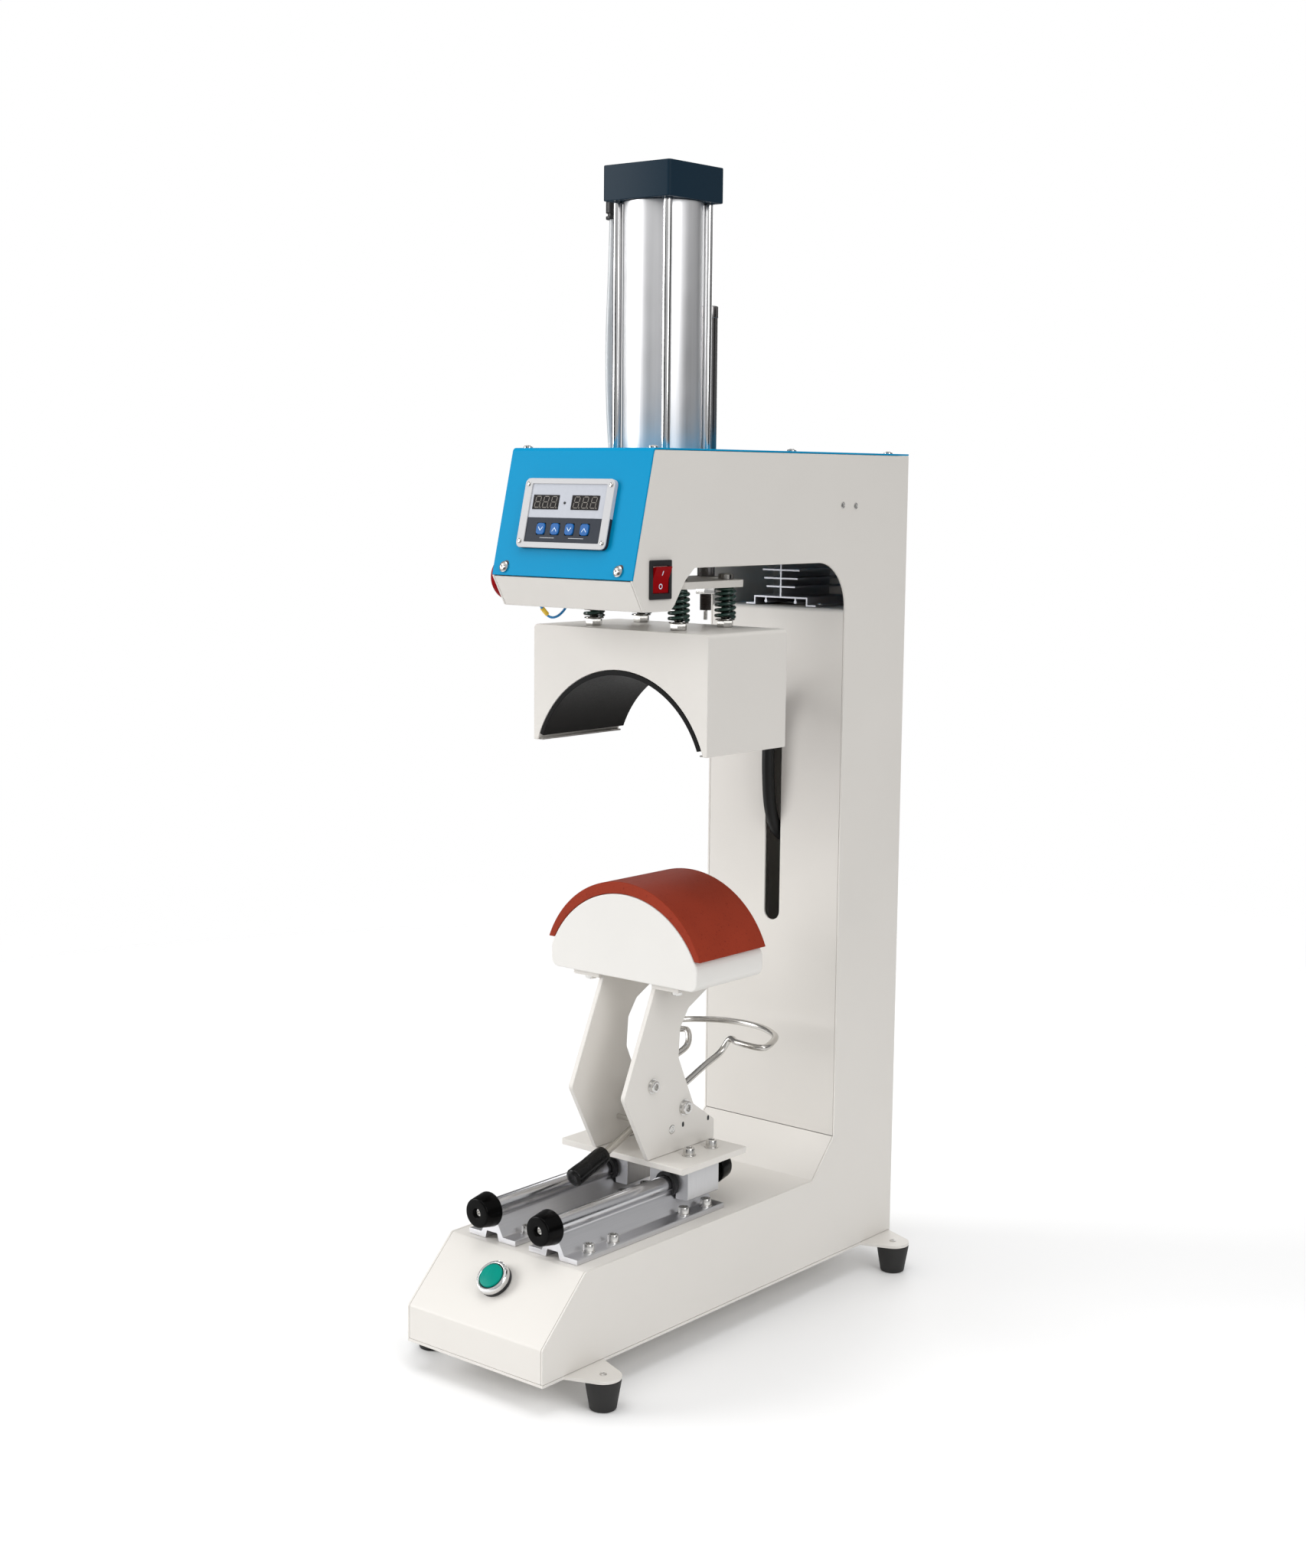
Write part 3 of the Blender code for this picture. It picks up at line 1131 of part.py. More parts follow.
# Springs: wound round the studs, between the washers and the pressure plate
# Height grows with the angle, so each is one helix; both ends turn up or down onto their seats.
spring_radius = 0.0082
spring_wire = 0.0028
spring_curls = 6
curl_points = 9
spring_start = spring_low + seat_gap
spring_end = plate_low - seat_gap
spring_rise = spring_end - spring_start - 2 * spring_wire
spring_turns = []
for step in range(spring_curls * curl_points + 1):
    angle = math.tau * step / curl_points
    spring_turns.append(Vector((spring_radius * math.cos(angle), spring_radius * math.sin(angle),
                                spring_start + spring_wire + spring_rise * step / (spring_curls * curl_points))))
spring_points = [Vector((spring_radius, 0, spring_start))] + spring_turns + [Vector((spring_radius, 0, spring_end))]
least = min((spring_turns[i] - spring_turns[j]).length for i in range(len(spring_turns))
            for j in range(i + curl_points // 2 + 1, len(spring_turns)))
print(f"springs: least gap between curls {(least - spring_wire) * 1000:.2f} mm")
for spring_name, bolt_place in zip(spring_names, bolt_places):
    add_tube(spring_name, [Vector(bolt_place) + point for point in spring_points], spring_wire / 2, 1,
             spring_enamel, (bolt_place[0], bolt_place[1], spring_end), head_holder)

# Heater cable: from the back of the cover through the slot, down and up inside the post to the shelf
cable_diameter = 0.0120
cable_steps = 4
cable_start_rise = 0.0962
cable_start = Vector((0, cover_back + seat_gap, heater_z + cable_start_rise))
cable_route = ((0.330, 0.578), (0.370, 0.570), (0.398, 0.545), (0.406, 0.510), (0.407, 0.470), (0.411, 0.435),
               (0.422, 0.412), (0.440, 0.402), (0.458, 0.410), (0.466, 0.440), (0.466, 0.500), (0.464, 0.560))
cable_end = Vector((0, cable_route[-1][0], shelf_top - panel_sheet - seat_gap))
cable_points = [cable_start, cable_start + Vector((0, cable_diameter, 0))]
cable_points += [Vector((0, y, z)) for y, z in cable_route]
cable_points += [cable_end - Vector((0, 0, cable_diameter)), cable_end]
add_tube("heater_cable", smooth_route(cable_points, cable_steps), cable_diameter / 2, 2, black_rubber, cable_start,
         press)
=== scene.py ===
import math
import bmesh
import bpy
import numpy as np
from mathutils import Matrix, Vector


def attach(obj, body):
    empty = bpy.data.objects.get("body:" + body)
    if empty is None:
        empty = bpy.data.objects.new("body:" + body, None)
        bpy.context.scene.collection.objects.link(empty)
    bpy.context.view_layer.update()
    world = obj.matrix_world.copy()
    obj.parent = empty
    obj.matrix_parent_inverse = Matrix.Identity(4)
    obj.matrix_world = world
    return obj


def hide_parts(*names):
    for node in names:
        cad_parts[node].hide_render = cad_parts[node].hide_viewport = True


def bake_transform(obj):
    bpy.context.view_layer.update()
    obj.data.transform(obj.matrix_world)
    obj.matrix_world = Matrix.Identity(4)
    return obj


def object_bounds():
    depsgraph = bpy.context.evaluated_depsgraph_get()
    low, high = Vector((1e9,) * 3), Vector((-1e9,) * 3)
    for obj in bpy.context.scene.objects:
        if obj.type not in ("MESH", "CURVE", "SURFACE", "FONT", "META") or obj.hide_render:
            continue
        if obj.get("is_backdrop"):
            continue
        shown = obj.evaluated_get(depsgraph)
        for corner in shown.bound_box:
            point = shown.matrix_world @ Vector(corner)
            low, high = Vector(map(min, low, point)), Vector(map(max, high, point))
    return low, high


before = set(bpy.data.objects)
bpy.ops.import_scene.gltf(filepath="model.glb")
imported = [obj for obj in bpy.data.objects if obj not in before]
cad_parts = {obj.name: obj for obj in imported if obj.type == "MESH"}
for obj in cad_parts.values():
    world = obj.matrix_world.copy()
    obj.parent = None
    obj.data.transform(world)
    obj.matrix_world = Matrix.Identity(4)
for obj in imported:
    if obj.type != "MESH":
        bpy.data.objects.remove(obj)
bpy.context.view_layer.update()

# Viewpoint, floor and light
# The press stands on a pale floor and is seen from the front right, level with its arm. The floor
# fades out far from the press. Large soft lights stand to the left, to the right and overhead.
viewpoint = (1.264226, -1.551153, 0.776421)
look_right = (0.76910983, 0.6390493, 0.00927729)
look_up = (-0.09416732, 0.09895118, 0.99062666)
look_back = (0.63214127, -0.76277431, 0.13628189)
camera = bpy.data.objects.new("camera", bpy.data.cameras.new("camera"))
camera.data.sensor_fit = "VERTICAL"
camera.data.sensor_height = 36
camera.data.lens = 50.747
camera.data.clip_start = 0.01
placed = np.column_stack([look_right, look_up, look_back, viewpoint])
camera.matrix_world = Matrix(np.vstack([placed, (0, 0, 0, 1)]).tolist())
bpy.context.scene.collection.objects.link(camera)
bpy.context.scene.camera = camera
bpy.context.scene.view_settings.view_transform = "Standard"


class Signal:
    """A value that varies over a surface: arithmetic on it adds the Math nodes."""

    def __init__(self, finish, socket):
        self.finish = finish
        self.socket = socket

    def maths(self, operation, first, second=0.0):
        return self.finish.node("ShaderNodeMath", {"operation": operation}, {0: first, 1: second})

    def __add__(self, other):
        return self.maths("ADD", self, other)

    def __radd__(self, other):
        return self.maths("ADD", other, self)

    def __sub__(self, other):
        return self.maths("SUBTRACT", self, other)

    def __rsub__(self, other):
        return self.maths("SUBTRACT", other, self)

    def __mul__(self, other):
        return self.maths("MULTIPLY", self, other)

    def __rmul__(self, other):
        return self.maths("MULTIPLY", other, self)

    def above(self, level):
        return self.maths("GREATER_THAN", self, level)

    def below(self, level):
        return self.maths("LESS_THAN", self, level)

    def size(self):
        return self.maths("ABSOLUTE", self)


class Finish:
    """One procedural material, or the world: node() adds any node and feed() joins it to a socket."""

    def __init__(self, owner, surface):
        owner.use_nodes = True
        self.owner = owner
        self.tree = owner.node_tree
        self.surface = self.tree.nodes[surface]

    def feed(self, socket, value):
        if isinstance(value, Signal):
            self.tree.links.new(value.socket, socket)
        elif socket.type == "RGBA" and len(value) == 3:
            socket.default_value = (*value, 1.0)
        else:
            socket.default_value = value

    def node(self, kind, settings=None, values=None, output=0):
        made = self.tree.nodes.new(kind)
        for key, value in (settings or {}).items():
            setattr(made, key, value)
        for key, value in (values or {}).items():
            self.feed(made.inputs[key], value)
        return Signal(self, made.outputs[output])

    def set(self, **values):
        for key, value in values.items():
            self.feed(self.surface.inputs[key.replace("_", " ")], value)
        return self

    def place(self, coordinates="Object"):
        return self.node("ShaderNodeTexCoord", output=coordinates)

    def axes(self, place):
        split = self.node("ShaderNodeSeparateXYZ", values={0: place})
        return [Signal(self, socket) for socket in split.socket.node.outputs]

    def noise(self, scale, detail=2.0, stretch=(1, 1, 1)):
        stretched = self.node("ShaderNodeMapping", values={"Vector": self.place(), "Scale": stretch})
        return self.node("ShaderNodeTexNoise", values={"Vector": stretched, "Scale": scale, "Detail": detail})

    def mix(self, first, second, share):
        return self.node("ShaderNodeMix", {"data_type": "RGBA"}, {0: share, 6: first, 7: second}, output=2)

    def along(self, place, way):
        return self.node("ShaderNodeVectorMath", {"operation": "DOT_PRODUCT"}, {0: place, 1: way}, "Value")

    def remap(self, value, low, high, first, last, kind="LINEAR"):
        return self.node("ShaderNodeMapRange", {"interpolation_type": kind},
                         {0: value, 1: low, 2: high, 3: first, 4: last})

    def relief(self, height, depth):
        return self.set(Normal=self.node("ShaderNodeBump", values={"Height": height, "Distance": depth}))


def new_finish(name, **values):
    """Material with its plain values set on the surface shader's own sockets."""
    return Finish(bpy.data.materials.new(name), "Principled BSDF").set(**values)


softboxes = {"left": ((-2.9, -2.5, 1.5), 0.55, 1.8, 2.6, 106), "right": ((3.2, -0.9, 1.9), 0.6, 1.4, 2.4, 40),
             "top": ((0.2, -0.6, 3.4), 0.5, 2.2, 2.2, 34), "back": ((-1.4, 3.0, 1.8), 0.6, 2.0, 2.0, 28)}
for stand_place, (lamp_place, aim_height, width, height, power) in softboxes.items():
    lamp = bpy.data.lights.new(f"softbox_{stand_place}", "AREA")
    lamp.shape = "RECTANGLE"
    lamp.size = width
    lamp.size_y = height
    lamp.energy = power
    light = bpy.data.objects.new(f"softbox_{stand_place}", lamp)
    bpy.context.scene.collection.objects.link(light)
    light.location = lamp_place
    away = np.subtract(lamp_place, (0, 0, aim_height))
    away /= np.linalg.norm(away)
    across = np.cross((0, 0, 1), away)
    across /= np.linalg.norm(across)
    light.rotation_euler = Matrix(np.column_stack([across, np.cross(away, across), away]).tolist()).to_euler()

# Two narrow dark screens, to the left and to the right of the viewpoint, draw the dark lines in the bright
# rods, and what polished metal mirrors from behind the press is dim, which draws the edges of the rods.
white = (1.0, 1.0, 1.0)
grey_below, dim_behind, screen_dark = (0.58, 0.58, 0.59), (0.10, 0.10, 0.10), (0.03, 0.03, 0.03)
screen_ways = ((-0.183, -0.979, 0.0), (0.906, 0.420, 0.0))
screen_edge = 0.950
studio = bpy.data.worlds.new("studio")
bpy.context.scene.world = studio
sky = Finish(studio, "Background")
sky_way = sky.place("Generated")
sky_share = sky.remap(sky.axes(sky_way)[2], -0.3, 0.5, 0.0, 1.0)
screens = sum(sky.along(sky_way, way).above(screen_edge) for way in screen_ways)
behind = sky.remap(sky.along(sky_way, (-0.638, 0.770, 0.0)), 0.1, 0.5, 0.0, 0.72)
mirrored = sky.node("ShaderNodeLightPath", output="Is Glossy Ray")
seen_directly = sky.node("ShaderNodeLightPath", output="Is Camera Ray")
sky_open = sky.mix(sky.mix(grey_below, white, sky_share), dim_behind, behind * mirrored)
sky.set(Color=sky.mix(sky.mix(sky_open, screen_dark, screens), white, seen_directly),
        Strength=0.60 + seen_directly * 0.40)

floor_finish = new_finish("pale_floor", Roughness=0.65, Base_Color=(0.93, 0.93, 0.93))
floor_distance = floor_finish.node("ShaderNodeVectorMath", {"operation": "LENGTH"}, {0: floor_finish.place()},
                                   "Value")
floor_finish.set(Alpha=floor_finish.remap(floor_distance, 0.7, 2.4, 1.0, 0.0, "SMOOTHSTEP"))
floor_reach = 4
floor_mesh = bpy.data.meshes.new("floor")
floor_corners = ((-1, -1), (1, -1), (1, 1), (-1, 1))
floor_mesh.from_pydata([(x * floor_reach, y * floor_reach, 0) for x, y in floor_corners], [], [(0, 1, 2, 3)])
floor_mesh.materials.append(floor_finish.owner)
floor = bpy.data.objects.new("floor", floor_mesh)
bpy.context.scene.collection.objects.link(floor)
floor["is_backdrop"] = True

# Body panels
# Two laser-cut steel plates, 2 mm thick, shaped like a C. They carry every other part, and are
# powder coated in cream like all the sheet metal of the body. Their edges are broken before coating.
body_place = np.array([0, -0.2588, 0.030])


def spot(across, back, up):
    """Floor-frame point, or points, for places measured from the middle of the body's lower front edge."""
    return np.stack(np.broadcast_arrays(across, back, up), -1) + body_place


def spots(acrosses, backs, ups):
    """Every combination of the measures given, the last one changing first."""
    return spot(*(axis.ravel() for axis in np.meshgrid(acrosses, backs, ups, indexing="ij")))


def eased(corners, steps=5, closed=True):
    """Outline whose corners (u, v, radius) are arcs: each arc point is the centre plus a blend of its two
    end radii, weighted by the sines of the angles left, so that it stays on the circle."""
    tiny = 1e-12
    table = np.array([(*corner, 0.0)[:3] for corner in corners], float)
    here = table[:, :2]
    before = np.roll(here, 1, 0) - here
    after = np.roll(here, -1, 0) - here
    room = 0.499 * np.minimum(np.linalg.norm(before, axis=1), np.linalg.norm(after, axis=1))
    before /= np.linalg.norm(before, axis=1)[:, None]
    after /= np.linalg.norm(after, axis=1)[:, None]
    half = np.arccos(np.clip((before * after).sum(1), -0.999999, 0.999999)) / 2
    reach = np.minimum(np.maximum(table[:, 2], 1e-8) / np.tan(half), room)
    middle = before + after
    middle /= np.maximum(np.linalg.norm(middle, axis=1), tiny)[:, None]
    centre = here + middle * (reach / np.cos(half))[:, None]
    start = here + before * reach[:, None] - centre
    end = here + after * reach[:, None] - centre
    angle = (math.pi - 2 * half)[:, None, None]
    t = np.linspace(0, 1, steps + 1)[None, :, None]
    points = centre[:, None] + (np.sin((1 - t) * angle) * start[:, None]
                                + np.sin(t * angle) * end[:, None]) / np.sin(angle)
    if not closed:
        points[0] = here[0]
        points[-1] = here[-1]
    points = points.reshape(-1, 2)
    moved = np.linalg.norm(points - np.roll(points, 1, 0), axis=1) > 1e-6
    moved[0] = moved[0] or not closed
    return points[moved]


def slab(outline, axis, low, high):
    """Straight solid on an outline, (y, z) along X, (x, z) along Y or (x, y) along Z: two ends and a wall."""
    outline = np.asarray(outline, float)
    count = len(outline)
    levels = np.repeat([low, high], count)
    u, v = np.tile(outline, (2, 1)).T
    order = {"X": (levels, u, v), "Y": (u, levels, v), "Z": (u, v, levels)}[axis]
    this = np.arange(count)
    following = (this + 1) % count
    walls = np.stack([this, following, following + count, this + count], 1).tolist()
    return np.stack(order, 1), [this[::-1].tolist(), (this + count).tolist()] + walls


def set_slab(outline, axis, low, high):
    """Slab drawn in the body's own measures, carried to its place on the floor."""
    points, faces = slab(outline, axis, low, high)
    return points + body_place, faces


def piece(name, parts, finish, body, slot, *nodes, bevel=0.0, crisp=35):
    """One object from several closed shells."""
    offset = 0
    corners = []
    faces = []
    for points, part_faces in parts:
        corners.append(points)
        faces += [[index + offset for index in face] for face in part_faces]
        offset += len(points)
    mesh = bpy.data.meshes.new(name)
    mesh.from_pydata(np.concatenate(corners), [], faces)
    return dressed(name, mesh, finish, body, slot, *nodes, bevel=bevel, crisp=crisp)


def dressed(name, mesh, finish, body, slot, *nodes, bevel=0.0, crisp=35):
    """Object from a mesh: cleaned, with faces outward and edges kept crisp, finished, and riding on its body,
    or left fixed where it stands when two bodies are given, in place of its CAD nodes."""
    shape = bmesh.new()
    shape.from_mesh(mesh)
    bmesh.ops.remove_doubles(shape, verts=shape.verts, dist=2e-6)
    bmesh.ops.dissolve_degenerate(shape, edges=shape.edges, dist=1e-7)
    bmesh.ops.recalc_face_normals(shape, faces=shape.faces)
    shape.to_mesh(mesh)
    shape.free()
    mesh.shade_smooth()
    mesh.set_sharp_from_angle(angle=math.radians(crisp))
    mesh.materials.clear()
    mesh.materials.append(finish.owner)
    made = bpy.data.objects.new(name, mesh)
    bpy.context.scene.collection.objects.link(made)
    if bevel:
        edge = made.modifiers.new("broken_edge", "BEVEL")
        edge.width = bevel
        edge.segments = 2
        edge.limit_method = "ANGLE"
        edge.angle_limit = math.radians(crisp)
        edge.use_clamp_overlap = False
        edge.harden_normals = True
    if isinstance(body, tuple):
        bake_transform(made)
    else:
        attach(made, body)
    if nodes:
        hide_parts(*nodes)
    return made


def softened(name, node, finish, body, slot, width, crisp=35):
    """Copy of a folded or sawn part with its edges broken by a narrow bevel."""
    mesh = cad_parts[node].data.copy()
    if "custom_normal" in mesh.attributes:
        mesh.attributes.remove(mesh.attributes["custom_normal"])
    shape = bmesh.new()
    shape.from_mesh(mesh)
    bmesh.ops.remove_doubles(shape, verts=shape.verts, dist=1e-5)
    bmesh.ops.dissolve_limit(shape, angle_limit=0.01, verts=shape.verts, edges=shape.edges)
    shape.to_mesh(mesh)
    shape.free()
    return dressed(name, mesh, finish, body, slot, node, bevel=width, crisp=crisp)


def powder_coat(name, colour, roughness, peel=0.00005, gloss=0.3):
    """Baked powder paint: a fine orange peel, a faint cloudiness of tone and of gloss."""
    finish = new_finish(name, Specular_IOR_Level=gloss)
    clouds = finish.noise(7, 3)
    darker = tuple(channel * 0.965 for channel in colour)
    lighter = tuple(min(channel * 1.03, 1.0) for channel in colour)
    finish.set(Base_Color=finish.mix(darker, lighter, clouds), Roughness=clouds * 0.10 + (roughness - 0.05))
    return finish.relief(finish.noise(1100, 2), peel)


cream = powder_coat("cream_powder_coat", (0.685, 0.660, 0.622), 0.42)
body_depth, body_top, body_side, panel_thick = 0.5176, 0.7713, 0.080, 0.002
arm_under, post_front, deck_up, chin_up = 0.6723, 0.4161, 0.0829, 0.6365
panel_corners = [(0, 0, 0.0005), (body_depth, 0, 0.0005), (body_depth, body_top, 0.0005),
                 (0.1352, body_top, 0.0022), (0.10855, 0.66288, 0), (0.1068, 0.66331, 0),
                 (0.12231, chin_up, 0.003), (0.15726, chin_up, 0.003), (0.16226, 0.64062, 0.003),
                 (0.17777, 0.66231, 0.003), (0.1902, arm_under, 0), (post_front, arm_under, 0.0432),
                 (post_front, 0.1190, 0), (0.3826, deck_up, 0.004), (0.0540, deck_up, 0.004),
                 (0, 0.030, 0.004)]
panel_outline = eased(panel_corners, 14)
inner_face = body_side - panel_thick
for side, low, high in (("left", -body_side, -inner_face), ("right", inner_face, body_side)):
    piece(f"{side}_panel", [set_slab(panel_outline, "X", low, high)], cream, "frame", "cream_paint",
          f"side_panel_{side}", bevel=0.0004, crisp=50)
for name, node in (("deck_sheet", "base_deck"), ("post_sheet", "post_front_plate"),
                   ("chin_sheet", "chin_plate"), ("back_sheet", "rear_cover")):
    softened(name, node, cream, "frame", "cream_paint", 0.0003, 50)

# Base plate
# A cream steel plate, 2.7 mm thick, that closes the body from below. Its four tongues carry the feet,
# each held by a pan-head screw from above.
foot_across = 0.102
foot_backs = {"front": 0.0516, "rear": 0.490}
softened("floor_plate", "bottom_plate", cream, "frame", "cream_paint", 0.0004)


def grid_faces(rows, columns):
    """Four-sided faces between neighbouring rings, joined round from the last column to the first."""
    row, column = np.meshgrid(np.arange(rows - 1), np.arange(columns), indexing="ij")
    following = (column + 1) % columns
    faces = np.stack([row * columns + column, row * columns + following, (row + 1) * columns + following,
                      (row + 1) * columns + column], -1)
    return faces.reshape(-1, 4).tolist()


def around(radii, heights, place, axis=(0, 0, 1)):
    """Surface of rings about an axis: place + radius * (u cos a + v sin a) + height * axis, on a grid of
    rings by angle a. The rings of radius nought close the poles."""
    rows, steps = radii.shape
    axis = np.array(axis, float)
    axis /= np.linalg.norm(axis)
    across = np.cross(axis, (0, 0, 1)) if abs(axis[2]) < 0.9 else np.array((1.0, 0, 0))
    across /= np.linalg.norm(across)
    other = np.cross(axis, across)
    angle = np.linspace(0, math.tau, steps, endpoint=False)
    points = (np.asarray(place, float) + radii[..., None] * (np.cos(angle)[:, None] * across
                                                              + np.sin(angle)[:, None] * other)
              + heights[..., None] * axis)
    return points.reshape(-1, 3), grid_faces(rows, steps)


def screw_head(place, axis, radius, height, drive="cross", steps=32):
    """Round head: a shallow dome over a polar grid, less the sunk drive, with a wall down to its seat."""
    share = np.array([0, 0.10, 0.18, 0.24, 0.34, 0.46, 0.52, 0.58, 0.66, 0.80, 0.92, 1.0, 1.0])[:, None]
    angle = np.linspace(0, math.tau, steps, endpoint=False)[None]
    u = share * np.cos(angle)
    v = share * np.sin(angle)
    if drive == "cross":
        arm = np.minimum(abs(u), abs(v))
        tip = np.maximum(abs(u), abs(v))
        sunk = np.clip((0.17 - arm) / 0.06, 0, 1) * np.clip((0.60 - tip) / 0.08, 0, 1)
        dome = np.sqrt(1 - (0.88 * share) ** 2)
    else:
        turns = np.radians([0, 60, 120])[:, None, None]
        flat = abs(u * np.cos(turns) + v * np.sin(turns)).max(0)
        sunk = np.clip((0.50 - flat) / 0.05, 0, 1)
        dome = 1 - 0.18 * np.clip((share - 0.86) / 0.14, 0, 1) ** 2
    rise = height * (dome - 0.6 * sunk)
    rise[-1] = 0
    return around(np.broadcast_to(share * radius, rise.shape), rise, place, axis)


def bright_metal(name, colour, roughness, streak=(1, 1, 1), depth=0.00001, scale=900):
    """Plated, drawn or ground metal: streaks of gloss along the way it was worked."""
    finish = new_finish(name, Metallic=1.0)
    grain = finish.noise(scale, 3, streak)
    gloss = grain * 0.10 + finish.noise(40, 2) * 0.08 + (roughness - 0.09)
    shade = tuple(channel * 0.88 for channel in colour)
    return finish.set(Base_Color=finish.mix(shade, colour, grain), Roughness=gloss).relief(grain, depth)


zinc = bright_metal("zinc_plated_screws", (0.72, 0.71, 0.69), 0.24)


def screws(name, places, axis, radius, height, body="frame", drive="cross"):
    """Zinc-plated screws of one size, at several places, as one piece."""
    heads = [screw_head(place, axis, radius, height, drive) for place in places]
    piece(name, heads, zinc, body, "zinc_steel")


screws("tongue_screws", spots((-foot_across, foot_across), list(foot_backs.values()), -0.0004), (0, 0, 1),
       0.0032, 0.0014)

# Feet
# Four moulded rubber cones, 30 mm high with the plate, with a rolled lower edge and a fine matt skin.


def lathe(profile, place, axis=(0, 0, 1), steps=48):
    """Turned part: a profile of (radius, height) corners swept round an axis."""
    shape = np.ones(steps)
    return around(profile[:, :1] * shape, profile[:, 1:] * shape, place, axis)


def turned(corners, place, axis=(0, 0, 1), steps=48, easing=3, ring=False):
    """Turned part whose profile has eased corners. A ring's profile closes on itself."""
    profile = eased(corners, easing, closed=ring)
    return lathe(np.vstack([profile, profile[:1]]) if ring else profile, place, axis, steps)


def mottled(name, dark, light, scale, detail, roughness, drift=0.0, relief=None, **values):
    """Plastic, rubber or enamel whose tone, and gloss where a drift is given, changes softly between two
    limits. The relief is the scale, detail and depth of its fine skin."""
    finish = new_finish(name, **values)
    clouds = finish.noise(scale, detail)
    finish.set(Base_Color=finish.mix(dark, light, clouds),
               Roughness=clouds * drift + roughness if drift else roughness)
    return finish.relief(finish.noise(*relief[:2]), relief[2]) if relief else finish


rubber = mottled("foot_rubber", (0.012, 0.012, 0.012), (0.030, 0.029, 0.028), 30, 4, 0.5, 0.2,
                 (1600, 2, 0.00004), Specular_IOR_Level=0.3)
foot_corners = [(0, -0.030, 0), (0.0115, -0.030, 0.0016), (0.0158, -0.0045, 0.0010),
                (0.0158, -0.0033, 0.0003), (0, -0.0033, 0)]
for row, back in foot_backs.items():
    for side, across in (("left", -foot_across), ("right", foot_across)):
        piece(f"rubber_foot_{row}_{side}", [turned(foot_corners, spot(across, back, 0), easing=4)], rubber,
              "frame", "foot_rubber", f"foot_{row}_{side}")

# Lid
# A single sheet folded over the arm and down its slanted face, in satin blue powder coat. Button-head
# screws hold it along both edges, and two large ones through keyhole slots hold it at the foot of the face.
blue = powder_coat("blue_powder_coat", (0.0005, 0.262, 0.505), 0.38, 0.00003, 0.04)
lid_top = 0.7731
softened("blue_lid", "head_cover", blue, "frame", "blue_paint", 0.0003, 50)
screws("lid_screws", spots((-0.0712, 0.0712), (0.1435, 0.339, 0.495), lid_top), (0, 0, 1), 0.0042, 0.0024)
screws("side_screws", spot(body_side, (0.4084, 0.4292), (0.7249, 0.7241)), (1, 0, 0), 0.0030, 0.0012)

# Controller
# A moulded silver frame round a printed panel: a pale upper half with two unlit three-digit displays,
# and a slate lower half with four blue keys. Four small screws hold it on the slanted face.
face_rise, face_run = 0.971065, 0.238817
face_up = np.array([0, face_run, face_rise])
face_out = np.array([0, -face_rise, face_run])
face_foot = spot(0, 0.1068, 0.663314)


def face_spot(across, up, out):
    """Point on the slanted face, or out of it."""
    return face_foot + (across, 0, 0) + face_up * up + face_out * out


def on_face(part):
    """Carries a shape drawn as (across, up the face, out of the face) to its place on the slanted face."""
    points, faces = part
    return points[:, :1] * (1, 0, 0) + points[:, 1:2] * face_up + points[:, 2:] * face_out + face_foot, faces


def block_outline(left, right, low, high, radius, steps=6):
    """Rectangle with equal rounded corners."""
    corners = [(left, low, radius), (right, low, radius), (right, high, radius), (left, high, radius)]
    return eased(corners, steps)


def rim(outer, inner, low, high):
    """Closed frame between two outlines with as many points each: four loops joined round."""
    count = len(outer)
    loops = [(outer, low), (outer, high), (inner, high), (inner, low), (outer, low)]
    points = np.concatenate([np.column_stack([loop, np.full(count, level)]) for loop, level in loops])
    return points, grid_faces(5, count)


panel_print = new_finish("controller_print", Roughness=0.42, Specular_IOR_Level=0.10)
print_x, print_y, print_z = panel_print.axes(panel_print.place())
print_up = (print_y - float(face_foot[1])) * face_run + (print_z - float(face_foot[2])) * face_rise
half_height, bracket_height, bracket_line = 0.0511, 0.0335, 0.00022
brackets = (print_x + 0.0201).size().below(0.0082) + (print_x - 0.0131).size().below(0.0086)
bracket_mask = (print_up - bracket_height).size().below(bracket_line) * brackets
grain = panel_print.noise(300, 2)
pale_print = panel_print.mix((0.46, 0.48, 0.53), (0.51, 0.53, 0.58), grain)
slate_print = panel_print.mix((0.018, 0.023, 0.034), (0.025, 0.031, 0.045), grain)
line_print = panel_print.mix(slate_print, (0.55, 0.57, 0.60), bracket_mask)
panel_print.set(Base_Color=panel_print.mix(pale_print, line_print, print_up.below(half_height)))
panel_print.relief(grain, 0.00001)
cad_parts["controller_housing"].material_slots[0].material = panel_print.owner
moulding = powder_coat("silver_moulding", (0.50, 0.50, 0.51), 0.34, 0.00002, 0.2)
outer_rim = block_outline(-0.0540, 0.0480, 0.0245, 0.0853, 0.0050)
inner_rim = block_outline(-0.0456, 0.0396, 0.0295, 0.0805, 0.0008)
piece("controller_frame", [on_face(rim(outer_rim, inner_rim, 0.0030, 0.0042))], moulding, "frame",
      "panel_plastic", bevel=0.0004)
display_glass = mottled("display_glass", (0.006, 0.005, 0.005), (0.014, 0.012, 0.011), 60, 2, 0.12,
                        Specular_IOR_Level=0.03)
display_sides = ((-0.0423, -0.0127), (0.0020, 0.0330))
display_outlines = [block_outline(left, right, 0.0582, 0.0708, 0.0003, 2) for left, right in display_sides]
piece("display_windows", [on_face(slab(outline, "Z", 0.0032, 0.0037)) for outline in display_outlines],
      display_glass, "frame", "panel_plastic", bevel=0.0001)
digit_grey = mottled("unlit_segments", (0.21, 0.19, 0.17), (0.28, 0.26, 0.23), 500, 1, 0.35,
                     Specular_IOR_Level=0.1)
digit_size = np.array([0.0056, 0.0096])
digit_line, digit_lean, digit_foot, digit_low, digit_high = 0.00062, 0.14, 0.0598, 0.0036, 0.00375
digit_shares = (0.19, 0.50, 0.81)
